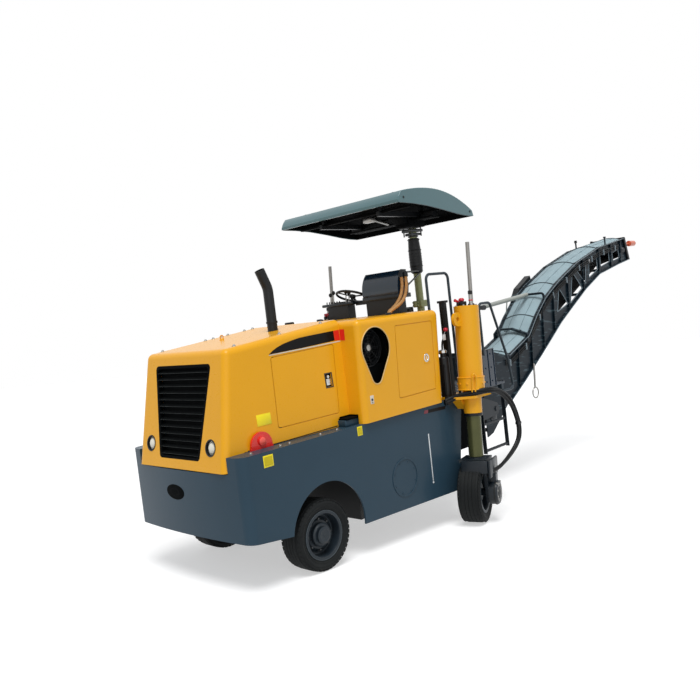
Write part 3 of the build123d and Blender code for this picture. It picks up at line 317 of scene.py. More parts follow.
@dataclass(frozen=True)
class Finish:
    """A surface: colour with slow variation, worn edges, dust and a fine grain.

    Attributes:
        name: The material's name.
        colour: Base colour as display bytes, as the other colours are.
        roughness: Mean roughness.
        metallic: 1 for bare metal.
        coat: Weight of the clear coat.
        specular: Strength of the plain reflection.
        mottle: How far the colour's value swings.
        scale: Waves per metre of that variation.
        wear: How much the edges are rubbed bare.
        bare: Colour under the rubbed edges.
        edge: Width over which edges look rounded.
        dust: How much dust lies on it.
        splash: Height to which the ground dirties it.
        grain: Waves per metre of the fine relief.
        relief: Depth of the fine relief.
        slot: Name of a material slot, kept with the finish.
    """

    name: str
    colour: Colour
    roughness: float = 0.5
    metallic: float = 0.0
    coat: float = 0.0
    specular: float = 0.3
    mottle: float = 0.3
    scale: float = 3.0
    wear: float = 0.0
    bare: Colour = BARE_COLOUR
    edge: float = 0.003
    dust: float = 0.05
    splash: float = 0.2
    grain: float = 420.0
    relief: float = 0.00012
    slot: str = "black_paint"

    def height(self, graph: Graph) -> Sock:
        """The socket that holds the fine relief."""
        return placed(graph, "Grain", {"Scale": self.grain, "Coarse": 0.4}).outputs["Height"]

    def tinted(self, graph: Graph, colour: Sock) -> Sock:
        """The colour with what this kind of finish adds to it."""
        return colour

    def plain_values(self) -> dict[str, float]:
        """Values that are the same all over, by the shader's socket."""
        return {"Metallic": self.metallic, "Coat Weight": self.coat, "Specular IOR Level": self.specular,
            "Coat Roughness": 0.08}

    def material(self) -> bpy.types.Material:
        """The material of this finish, built once.

        Returns:
            The material.
        """
        title = f"finish_{self.name}"
        found = bpy.data.materials.get(title)
        if found:
            return found
        made = bpy.data.materials.new(title)
        made.use_nodes = True
        graph = Graph(made.node_tree)
        shader = made.node_tree.nodes["Principled BSDF"]
        for title, value in self.plain_values().items():
            shader.inputs[title].default_value = value
        mottled = placed(graph, "Mottle", {"Color": (*linear(*self.colour), 1), "Amount": self.mottle,
            "Scale": self.scale, "Roughness": self.roughness})
        edges = placed(graph, "Edges", {"Width": self.edge, "Amount": self.wear})
        dust = placed(graph, "Dust", {"Amount": self.dust, "Splash Height": self.splash})
        colour = self.tinted(graph, mottled.outputs["Color"])
        colour = graph.blend(edges.outputs["Mask"], colour, (*linear(*self.bare), 1))
        colour = graph.blend(dust.outputs["Mask"], colour, (*DUST_COLOUR, 1))
        dulled = graph.spread(dust.outputs["Mask"], 0, 1, 0, 0.5)
        rough = graph.maths("ADD", mottled.outputs["Roughness"], dulled, True)
        relief = graph.node("Bump", {"Strength": 1, "Distance": self.relief, "Height": self.height(graph),
            "Normal": edges.outputs["Normal"]})
        graph.link(shader, {"Base Color": colour, "Roughness": rough, "Normal": relief.outputs[0]})
        return made


@dataclass(frozen=True)
class Cloth(Finish):
    """A woven finish.

    Attributes:
        threads: Threads per metre.
        faded: Colour of the sun-bleached patches.
        sheen: Weight of the sheen.
    """

    threads: float = 500.0
    faded: Colour = (200, 200, 200)
    sheen: float = 0.15

    def height(self, graph: Graph) -> Sock:
        """The socket that holds the threads' relief."""
        return placed(graph, "Weave", {"Threads": self.threads}).outputs["Height"]

    def tinted(self, graph: Graph, colour: Sock) -> Sock:
        """The colour with sun-bleached patches."""
        patches = placed(graph, "Weave", {"Threads": self.threads}).outputs["Tint"]
        return graph.blend(graph.maths("MULTIPLY", patches, 0.5), colour, (*linear(*self.faded), 1))

    def plain_values(self) -> dict[str, float]:
        """Values that are the same all over, with sheen."""
        return super().plain_values() | {"Sheen Weight": self.sheen}


@dataclass(frozen=True)
class ScuffedGlinting(Finish):
    """Paint with pale streaks along it, partly scrapes and partly painted glints.

    Attributes:
        scuff_glint_colour: Colour of the streaks.
        scuff_glint_rate: Streaks per metre.
        scuff_glint_share: How much of the surface they take.
    """

    scuff_glint_colour: Colour = (84, 104, 112)
    scuff_glint_rate: float = 9.0
    scuff_glint_share: float = 0.5

    def tinted(self, graph: Graph, colour: Sock) -> Sock:
        """The colour with pale streaks along the piece.

        Args:
            graph: The material's graph.
            colour: The mottled colour.

        Returns:
            The streaked colour's socket.
        """
        place = graph.place()
        turned = graph.node("Mapping", {"Vector": place, "Rotation": (0, -0.62, 0), "Scale": (0.5, 1, 3.4)})
        # The pale streaks are partly scrapes and partly painted glints.
        streaks = graph.spread(graph.noise(turned.outputs[0], self.scuff_glint_rate, 9), 0.56, 0.66, 0, self.scuff_glint_share)
        return graph.blend(streaks, colour, (*linear(*self.scuff_glint_colour), 1))


ORANGE = Finish("orange_paint", (235, 168, 24), 0.3, slot="orange_paint", coat=0.14, specular=0.2, mottle=0.07,
    wear=0.35, bare=(120, 84, 40), grain=260, relief=0.00005)
SLATE = Finish("slate_paint", (42, 65, 80), 0.34, slot="slate_paint", coat=0.06, specular=0.16, mottle=0.16, wear=0.4,
    bare=(100, 112, 122), dust=0.04, splash=0.5, grain=240, relief=0.00007)
# Boom slate: its pale streaks, pale worn edges and strong mottle are partly scrapes and partly painted glints.
BOOM_SLATE = ScuffedGlinting("boom_slate", (10, 24, 33), 0.4, slot="slate_paint", coat=0.06, specular=0.14, mottle=0.5,
    scale=9, wear=0.9, bare=(110, 128, 138), edge=0.006, dust=0.03, splash=0.4)
DARK_SLATE = Finish("dark_slate", (12, 22, 30), 0.38, slot="slate_paint", coat=0.1, scale=7, wear=0.5,
    bare=(96, 108, 118), dust=0.08, splash=0.6)
NAVY = Finish("navy_paint", (20, 40, 58), 0.22, slot="slate_paint", coat=0.5, mottle=0.2, wear=0.3,
    bare=(90, 104, 118), dust=0.03, splash=0.3)
RAIL_SLATE = Finish("rail_slate", (36, 48, 56), 0.4, mottle=0.2, wear=0.5, bare=(110, 116, 118), splash=0.4)
# Pale slate: painted highlights along the boom's chords and window edges, and the colour of the hose clips.
EDGE_SLATE = Finish("pale_slate_and_highlight", (118, 132, 140), 0.4, slot="slate_paint", mottle=0.5, scale=12, splash=0.3)
HUB_SLATE = Finish("hub_slate", (26, 36, 44), 0.42, slot="slate_paint", mottle=0.35, scale=14, wear=0.4,
    bare=(100, 108, 112), dust=0.12, splash=0.9)
BLACK = Finish("black_paint", (10, 13, 16), 0.4, mottle=0.25, wear=0.3, bare=(80, 86, 90), dust=0.06, splash=0.9)
# Shadow black paints shade: on the frame under the body, in the grille, lamp cups, air openings, tow eye, latch
# recesses and gaps.
SHADOW = Finish("shadow_black", (5, 7, 8), 0.8, specular=0.04, mottle=0.2, dust=0)
# Near-black of the canopy's lining and arms and of the tow eye's ring: partly their dark colour, partly painted shade
# under the canopy and in the eye.
LINING_SHADE = Finish("lining_and_shade_black", (6, 8, 10), 0.8, specular=0.05, scale=5, dust=0, splash=0.1)
CANOPY = Finish("canopy_paint", (70, 108, 114), 0.16, coat=0.6, mottle=0.12, scale=1.6, dust=0.03, splash=0.1,
    grain=120, relief=0.00008)
LIP_PALE = Finish("canopy_lip", (60, 78, 84), 0.3, slot="canopy_shell", coat=0.3, mottle=0.2, dust=0.02, splash=0.1)
OLIVE = Finish("leg_primer", (80, 82, 50), 0.24, metallic=0.45, mottle=0.45, scale=6, splash=0.9)
POST = Finish("post_primer", (158, 164, 118), 0.42, slot="olive_paint", mottle=0.22, scale=9, wear=0.3,
    bare=(196, 198, 180), splash=0.3)
RUBBER = Finish("tyre_rubber", (17, 20, 21), 0.72, slot="tread", specular=0.2, mottle=0.4, scale=8, dust=0.1,
    splash=0.35, grain=320, relief=0.0003)
RUBBER_TRIM = Finish("rubber_trim", (24, 22, 20), 0.7, slot="boot_rubber", dust=0.1, splash=0.3)
HOSE = Finish("hose_rubber", (6, 8, 10), 0.42, slot="boot_rubber", coat=0.08, specular=0.16, scale=12, dust=0.04,
    splash=0.5, grain=700, relief=0.0001)
BELT = Finish("belt_rubber", (24, 26, 27), 0.8, mottle=0.35, scale=6, dust=0.2, splash=3, grain=260, relief=0.0005)
STRAP = Finish("strap_black", (40, 54, 60), 0.6, scale=10, dust=0.06, grain=800, relief=0.0002)
STEEL = Finish("bare_steel", (152, 150, 146), 0.34, slot="grey_steel", metallic=1, scale=9, dust=0.06, splash=0.9)
CHROME = Finish("bright_steel", (196, 198, 196), 0.2, slot="grey_steel", metallic=1, mottle=0.15, scale=14, dust=0.04,
    splash=0.9)
ROD = Finish("scale_rod", (142, 140, 136), 0.4, metallic=0.7, mottle=0.35, scale=16, splash=0.9)
DARK_STEEL = Finish("dark_steel", (70, 72, 74), 0.45, slot="grey_steel", metallic=0.85, mottle=0.4, scale=9,
    dust=0.15, splash=1.1)
# Dark grey of the flange studs and bracket slots; on the grille slats it paints highlights along their edges.
EDGE_GREY = Finish("edge_grey", (50, 56, 56), 0.45, slot="grey_steel", mottle=0.8, scale=20, dust=0.04)
ARM_GREY = Finish("arm_grey", (158, 162, 156), 0.42, scale=6, wear=0.5, bare=(96, 100, 98))
PLASTIC = Finish("black_plastic", (12, 14, 16), 0.45, mottle=0.12, grain=900, relief=0.0002)
VINYL = Finish("seat_vinyl", (18, 19, 21), 0.46, slot="seat_vinyl", mottle=0.2, scale=6, grain=520, relief=0.0005)
TAN = Finish("tan_hose", (196, 150, 96), 0.55, slot="boot_rubber", mottle=0.35, scale=18)
STRIPE_BLACK = Finish("stripe_black", (9, 9, 10), 0.4, coat=0.08, specular=0.1, mottle=0.12, dust=0)
STRIPE_RED = Finish("stripe_red", (226, 42, 26), 0.32, slot="lug_red", coat=0.4, mottle=0.1, dust=0.03)
# Pale plastic of the key plate, and the painted highlight under the hood's sweep.
PALE_PLATE_AND_HIGHLIGHT = Finish("pale_plate_and_highlight", (214, 206, 190), 0.4, slot="grey_plastic", coat=0.2, mottle=0.12)
MAROON = Finish("stripe_maroon", (128, 22, 46), 0.35, slot="lug_red", coat=0.3, mottle=0.1, dust=0.03)
MARK_WHITE = Finish("mark_white", (222, 226, 228), 0.45, slot="grey_plastic", mottle=0.12, scale=12, splash=0.3)
STICKER = Finish("sticker_yellow", (244, 224, 30), 0.4, slot="orange_paint", coat=0.2, mottle=0.12, scale=12,
    dust=0.04)
STICKER_DARK = Finish("sticker_field", (206, 186, 20), 0.42, slot="orange_paint", mottle=0.25, scale=24, dust=0.04)
LUG_RED = Finish("lug_red", (228, 34, 24), 0.28, coat=0.5, mottle=0.1, wear=0.3, bare=(120, 30, 24), dust=0.04)
LUG_CORE = Finish("lug_core", (246, 92, 78), 0.3, slot="lug_red", coat=0.4, mottle=0.15, dust=0.02)
RED_KNOB = Finish("red_knob", (196, 20, 48), 0.3, slot="lug_red", coat=0.4, mottle=0.2, dust=0.03)
BEACON = Finish("beacon_orange", (214, 104, 70), 0.28, coat=0.4, mottle=0.2, scale=20, dust=0.03, splash=0.1)
LAMP_PALE = Finish("lamp_pale", (226, 222, 206), 0.14, slot="lamp_clear", coat=0.8, mottle=0.25, scale=26, edge=0.001,
    dust=0.03, splash=0.1)
LATCH_RIM = Finish("latch_rim", (52, 50, 46), 0.4, slot="grey_steel", mottle=0.2, wear=0.6, bare=(150, 146, 138))
# Pale orange: a painted highlight along the lip of the air openings.
RIM_PALE = Finish("rim_pale", (220, 184, 120), 0.45, slot="orange_paint", mottle=0.35, scale=18)
# Pale rings on the wheel rims: painted highlights on the rim's lip and ridges.
RIM_EDGE = Finish("rim_edge", (74, 84, 90), 0.42, slot="slate_paint", mottle=0.9, scale=14, dust=0.1, splash=0.4)
CANVAS = Cloth("cover_canvas", (150, 174, 182), 0.62, slot="canvas", mottle=0.35, scale=4, dust=0.04, relief=0.0006,
    threads=330, faded=(158, 178, 184))
CANVAS_DARK = Cloth("hem_canvas", (66, 82, 90), 0.7, slot="canvas", scale=8, dust=0.04, relief=0.0006, threads=330,
    faded=(98, 114, 122))


# ---- stance, camera, stage
def add(name: str, data: bpy.types.ID) -> Piece:
    """Put a new object in the scene.

    Args:
        name: Its name.
        data: What it shows.

    Returns:
        The object.
    """
    made = bpy.data.objects.new(name, data)
    bpy.context.scene.collection.objects.link(made)
    return made


FRONT_AXLE = Vector((0.562, 0, 0.305))  # machine frame
NOSE_DOWN = math.radians(3.75)


class Stance:
    """How the body stands: turned nose down about the front axle."""

    def __init__(self) -> None:
        """Read the front axle's place from the frame."""
        low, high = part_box("front_rim_left")
        axle = Vector(((low.x + high.x) / 2, 0, (low.z + high.z) / 2))
        turn = Matrix.Rotation(NOSE_DOWN, 4, "Y")
        self.matrix = Matrix.Translation(axle) @ turn @ Matrix.Translation(-FRONT_AXLE)


@dataclass(frozen=True)
class Viewpoint:
    """The camera, given in the machine frame.

    Attributes:
        place: Where it stands.
        yaw: Heading in degrees, from X towards Y.
        pitch: Degrees above the machine's own level.
        roll: Degrees of tilt about the line of sight.
        lens: Focal length in millimetres.
    """

    place: Point = (4.582, 5.323, 2.172)
    yaw: float = 224.664
    pitch: float = -3.233
    roll: float = -6.676
    lens: float = 37.5

    def build(self, stance: Stance) -> None:
        """Add the camera and make it the scene's.

        Args:
            stance: How the machine frame stands.
        """
        yaw, pitch, roll = (math.radians(a) for a in (self.yaw, self.pitch, self.roll))
        ahead = Vector((math.cos(yaw) * math.cos(pitch), math.sin(yaw) * math.cos(pitch), math.sin(pitch)))
        right = ahead.cross(Vector((0, 0, 1))).normalized()
        up = right.cross(ahead)
        across = right * math.cos(roll) + up * math.sin(roll)
        upward = up * math.cos(roll) - right * math.sin(roll)
        turn = Matrix((across, upward, -ahead)).transposed().to_4x4()
        camera = bpy.data.cameras.new("camera")
        camera.lens = self.lens
        camera.clip_end = 200
        holder = add("camera", camera)
        holder.matrix_world = stance.matrix @ Matrix.Translation(self.place) @ turn
        bpy.context.scene.camera = holder


def plain_view(graph: Graph) -> Sock:
    """Mask of the rays that see the pale surroundings: the camera's, mirrored ones and those through glass.

    Args:
        graph: The node tree.

    Returns:
        The mask's socket.
    """
    path = graph.node("LightPath").outputs
    mirrored = graph.maths("MAXIMUM", path["Is Camera Ray"], path["Is Glossy Ray"])
    return graph.maths("MAXIMUM", mirrored, path["Is Transmission Ray"])


@dataclass(frozen=True)
class Studio:
    """Pale floor, plain world and soft lamps.

    Attributes:
        sky: Strength of the world on the object.
        sun: Strength of the soft sun.
        floor_half: Half the floor's side.
    """

    sky: float = 0.33
    sun: float = 2.45
    floor_half: float = 60.0

    def build(self) -> None:
        """Add the floor, the world and the lamps."""
        scene = bpy.context.scene
        scene.view_settings.view_transform = "Standard"
        self.add_world(scene)
        self.add_floor()
        self.add_lamp("key", (3.2, 3.6, 11), self.sun, 30)
        self.add_lamp("fill", (6, 7.5, 2.2), self.sun * 0.2, 60)

    def add_world(self, scene: bpy.types.Scene) -> None:
        """Give the scene a world that looks white and lights gently.

        Args:
            scene: The scene.
        """
        world = bpy.data.worlds.new("studio")
        world.use_nodes = True
        graph = Graph(world.node_tree)
        seen = plain_view(graph)
        plain = world.node_tree.nodes["Background"]
        plain.inputs["Color"].default_value = (0.93, 0.96, 1, 1)
        plain.inputs["Strength"].default_value = self.sky
        white = graph.node("Background", {"Color": (1, 1, 1, 1), "Strength": 1})
        shown = graph.node("MixShader", {0: seen, 1: plain.outputs[0], 2: white.outputs[0]})
        graph.link(world.node_tree.nodes["World Output"], {"Surface": shown.outputs[0]})
        scene.world = world

    def add_floor(self) -> None:
        """Add the pale floor under the wheels."""
        mesh = bpy.data.meshes.new("floor")
        work = bmesh.new()
        bmesh.ops.create_grid(work, x_segments=1, y_segments=1, size=self.floor_half)
        work.to_mesh(mesh)
        work.free()
        floor = add("floor", mesh)
        material = bpy.data.materials.new("floor")
        material.use_nodes = True
        graph = Graph(material.node_tree)
        shader = material.node_tree.nodes["Principled BSDF"]
        shader.inputs["Base Color"].default_value = (0.6, 0.6, 0.6, 1)
        shader.inputs["Roughness"].default_value = 0.9
        glow = graph.node("Emission", {"Color": (1, 1, 1, 1), "Strength": 0.5})
        both = graph.node("AddShader", {0: shader.outputs[0], 1: glow.outputs[0]})
        shown = graph.node("MixShader", {0: plain_view(graph), 1: shader.outputs[0], 2: both.outputs[0]})
        graph.link(material.node_tree.nodes["Material Output"], {"Surface": shown.outputs[0]})
        mesh.materials.append(material)

    def add_lamp(self, name: str, place: Point, strength: float, softness: float) -> None:
        """Add a sun that shines from a place towards the origin.

        Args:
            name: The lamp's name.
            place: Where it seems to stand.
            strength: Its strength.
            softness: Its angular size in degrees.
        """
        lamp = bpy.data.lights.new(name, "SUN")
        lamp.energy = strength
        lamp.angle = math.radians(softness)
        holder = add(name, lamp)
        holder.rotation_mode = "QUATERNION"
        holder.rotation_quaternion = Vector(place).to_track_quat("Z", "Y")


# ---- shaping and filing meshes
def at(x: float, y: float, z: float) -> Vector:
    """Point in metres from one in millimetres."""
    return Vector((x, y, z)) / 1000


def move(x: float, y: float, z: float) -> Matrix:
    """A shift given in millimetres."""
    return Matrix.Translation(at(x, y, z))


def wall(outline: list[Flat], y: float) -> list[Point]:
    """Points on an upright plane, from their (x, z)."""
    return [(x, y, z) for x, z in outline]


def around(count: int, radius: float, start: float = 0.0) -> list[Flat]:
    """Points evenly spaced round a circle, the first turned by a share of the spacing."""
    turns = [math.tau * (index + start) / count for index in range(count)]
    return [(radius * math.cos(turn), radius * math.sin(turn)) for turn in turns]


class Mould:
    """A mesh under way, in millimetres: shapes made with bmesh operators, each rounded, placed and kept."""

    def __init__(self) -> None:
        """Start empty."""
        self.work = bmesh.new()

    def take(self, shape: bmesh.types.BMesh, place: Matrix | None = None, rim: float = 0.0) -> None:
        """Keep a shape.

        Args:
            shape: The shape, which is used up.
            place: Where it goes.
            rim: Rounding of its sharp edges.
        """
        scale = Matrix.Scale(0.001, 4)
        bmesh.ops.transform(shape, matrix=scale if place is None else place @ scale, verts=shape.verts)
        bmesh.ops.remove_doubles(shape, verts=shape.verts, dist=1e-6)
        bmesh.ops.recalc_face_normals(shape, faces=shape.faces)
        if rim > 0:
            sharp = [e for e in shape.edges if len(e.link_faces) == 2 and e.calc_face_angle(0) > math.radians(32)]
            bmesh.ops.bevel(shape, geom=sharp, offset=rim / 1000, offset_type="OFFSET", segments=2, profile=0.5,
                affect="EDGES", material=-1, clamp_overlap=True)
        spare = bpy.data.meshes.new("spare")
        shape.to_mesh(spare)
        shape.free()
        self.work.from_mesh(spare)
        bpy.data.meshes.remove(spare)

    def block(self, low: Point, high: Point, rim: float = 0.0, place: Matrix | None = None) -> None:
        """Add a box with rounded edges.

        Args:
            low: One corner.
            high: The opposite corner.
            rim: Rounding of its edges.
            place: Where it goes.
        """
        shape = bmesh.new()
        bmesh.ops.create_cube(shape, size=1)
        low, high = Vector(low), Vector(high)
        bmesh.ops.scale(shape, vec=high - low, verts=shape.verts)
        bmesh.ops.translate(shape, vec=(low + high) / 2, verts=shape.verts)
        self.take(shape, place, rim)

    def rod(self, start: Point, end: Point, radius: float, segments: int = 24, tip: float | None = None,
            rim: float = 0.0, place: Matrix | None = None) -> None:
        """Add a round bar or a taper between two points.

        Args:
            start: Middle of one end.
            end: Middle of the other end.
            radius: Radius at the start.
            segments: Sides.
            tip: Radius at the end, the same if left out.
            rim: Rounding of its ends.
            place: Where it goes.
        """
        start, end = Vector(start), Vector(end)
        along = end - start
        shape = bmesh.new()
        bmesh.ops.create_cone(shape, cap_ends=True, segments=segments, radius1=radius,
            radius2=radius if tip is None else tip, depth=along.length)
        turn = Matrix.Translation((start + end) / 2) @ along.to_track_quat("Z", "Y").to_matrix().to_4x4()
        bmesh.ops.transform(shape, matrix=turn, verts=shape.verts)
        self.take(shape, place, rim)

    def plate(self, outline: list[Point], out: Point, rim: float = 0.0, place: Matrix | None = None) -> None:
        """Add an outline drawn out to a thickness.

        Args:
            outline: Corners, in order.
            out: Direction and thickness.
            rim: Rounding of its edges.
            place: Where it goes.
        """
        shape = bmesh.new()
        face = shape.faces.new([shape.verts.new(corner) for corner in outline])
        made = bmesh.ops.extrude_face_region(shape, geom=[face], use_keep_orig=True)["geom"]
        moved = [g for g in made if isinstance(g, bmesh.types.BMVert)]
        bmesh.ops.translate(shape, vec=Vector(out), verts=moved)
        self.take(shape, place, rim)

    def lathe(self, profile: list[Flat], place: Matrix | None = None, segments: int = 40, rim: float = 0.0) -> None:
        """Add a turned shape about the Z axis.

        Args:
            profile: (radius, height) points, in order.
            place: Where it goes.
            segments: Steps round the axis.
            rim: Rounding of its edges.
        """
        shape = bmesh.new()
        line = [shape.verts.new((radius, 0, height)) for radius, height in profile]
        edges = [shape.edges.new(pair) for pair in zip(line, line[1:])]
        bmesh.ops.spin(shape, geom=line + edges, cent=(0, 0, 0), axis=(0, 0, 1), angle=math.tau, steps=segments,
            use_merge=True)
        self.take(shape, place, rim)

    def ring(self, radius: float, thick: float, place: Matrix | None = None, segments: int = 40,
            sides: int = 10) -> None:
        """Add a ring of round bar about the Z axis, from its middle radius and the bar's own."""
        bar = [(radius + x, z) for x, z in around(sides, thick)]
        self.lathe(bar + bar[:1], place, segments)

    def ball(self, middle: Point, radius: float, stretch: Point = (1.0, 1.0, 1.0)) -> None:
        """Add a ball, or an egg where it is stretched.

        Args:
            middle: Its middle.
            radius: Its radius.
            stretch: Scale along each axis.
        """
        shape = bmesh.new()
        bmesh.ops.create_uvsphere(shape, u_segments=20, v_segments=12, radius=radius)
        bmesh.ops.scale(shape, vec=stretch, verts=shape.verts)
        self.take(shape, move(*middle))

    def hose(self, points: list[Point], radius: float, place: Matrix | None = None, sides: int = 3) -> None:
        """Add a hose or bent bar along a smooth line.

        Args:
            points: Control points of the line.
            radius: The hose's radius.
            place: Where it goes.
            sides: Bevel resolution of its section.
        """
        mesh = smooth_line(points, radius, sides)
        shape = bmesh.new()
        shape.from_mesh(mesh)
        bpy.data.meshes.remove(mesh)
        self.take(shape, place)

    def mirror(self) -> None:
        """Add the right-hand copy of all that is there, across Y = 0."""
        made = bmesh.ops.duplicate(self.work, geom=self.work.verts[:] + self.work.edges[:] + self.work.faces[:])
        copied = [g for g in made["geom"] if isinstance(g, bmesh.types.BMVert)]
        faces = [g for g in made["geom"] if isinstance(g, bmesh.types.BMFace)]
        bmesh.ops.scale(self.work, vec=(1, -1, 1), verts=copied)
        bmesh.ops.reverse_faces(self.work, faces=faces)


def smooth_line(points: list[Point], radius: float = 0.0, sides: int = 0) -> bpy.types.Mesh:
    """Smooth open line through the run of some control points, or a hose along it.

    Args:
        points: Control points.
        radius: The hose's radius.
        sides: Bevel resolution of its section.

    Returns:
        The mesh.
    """
    curve = bpy.data.curves.new("line", "CURVE")
    curve.dimensions = "3D"
    curve.bevel_depth = radius
    curve.bevel_resolution = sides
    curve.use_fill_caps = True
    spline = curve.splines.new("NURBS")
    spline.points.add(len(points) - 1)
    for knot, point in zip(spline.points, points):
        knot.co = (*point, 1)
    spline.order_u = 3
    spline.use_endpoint_u = True
    curve.resolution_u = 10
    holder = bpy.data.objects.new("line", curve)
    mesh = bpy.data.meshes.new_from_object(holder)
    bpy.data.objects.remove(holder)
    bpy.data.curves.remove(curve)
    return mesh


def facing(origin: Point, out: Point = (0, 1, 0), up: Point = (0, 0, 1)) -> Matrix:
    """Place whose Z axis points along a direction.

    Args:
        origin: Its origin.
        out: Direction of its Z axis, to the left if not given.
        up: Roughly the direction of its Y axis.

    Returns:
        The place.
    """
    axis = Vector(out).normalized()
    across = Vector(up).cross(axis)
    if across.length < 1e-4:
        across = Vector((1, 0, 0))
    across.normalize()
    upward = axis.cross(across)
    return move(*origin) @ Matrix((across, upward, axis)).transposed().to_4x4()


class Workshop:
    """Files finished moulds as pieces that ride on the frame's bodies."""

    def __init__(self, stance: Stance) -> None:
        """Keep the stance."""
        self.stance = stance

    def issue(self, name: str, mould: Mould, finish: Finish, body: str = "chassis", slot: str = "",
            level: bool = True, smooth: float = 38.0) -> Piece:
        """Make a piece of a mould.

        Args:
            name: The piece's name.
            mould: Its mesh, which is used up.
            finish: Its finish.
            body: The body it rides on, empty for a piece that rides on none.
            slot: Passed on to file.
            level: True if it was drawn in the machine frame, False if in the standing frame.
            smooth: Edges sharper than this many degrees stay sharp.

        Returns:
            The piece.
        """
        if level:
            bmesh.ops.transform(mould.work, matrix=self.stance.matrix, verts=mould.work.verts)
        mesh = bpy.data.meshes.new(name)
        mould.work.to_mesh(mesh)
        mould.work.free()
        mesh.shade_smooth()
        mesh.set_sharp_from_angle(angle=math.radians(smooth))
        return self.file(add(name, mesh), finish, body, slot)

    def file(self, piece: Piece, finish: Finish, body: str, slot: str = "") -> Piece:
        """Give a finished object its material and body.

        Args:
            piece: The object, in the standing frame.
            finish: Its finish.
            body: The body it rides on, empty for a piece that rides on none.
            slot: Not used.

        Returns:
            The piece.
        """
        piece.data.materials.append(finish.material())
        if body:
            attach(piece, body)
        LOG.info("%s on %s, %d faces", piece.name, body or "two bodies", len(piece.data.polygons))
        return piece


@dataclass
class Assembly:
    """A sub-assembly, which files its pieces with the workshop.

    Attributes:
        shop: Files the pieces.
        pending: Moulds that aren't filed yet, with what they are filed with.
    """

    shop: Workshop
    pending: list = field(default_factory=list, init=False)

    def issue(self, name: str, mould: Mould, finish: Finish, **more: object) -> Piece:
        """File a piece, on the chassis unless told otherwise."""
        return self.shop.issue(name, mould, finish, **more)

    def mould(self, name: str, finish: Finish, both: bool = False, **more: object) -> Mould:
        """Start a mould that is filed once all are shaped.

        Args:
            name: The piece's name.
            finish: Its finish.
            both: True if the other side has its mirror image.
            **more: What else the piece is filed with.

        Returns:
            The mould.
        """
        self.pending.append((name, Mould(), finish, both, more))
        return self.pending[-1][1]

    def make(self) -> None:
        """Shape every piece and file it."""
        self.build()
        for name, mould, finish, both, more in self.pending:
            if both:
                mould.mirror()
            self.issue(name, mould, finish, **more)


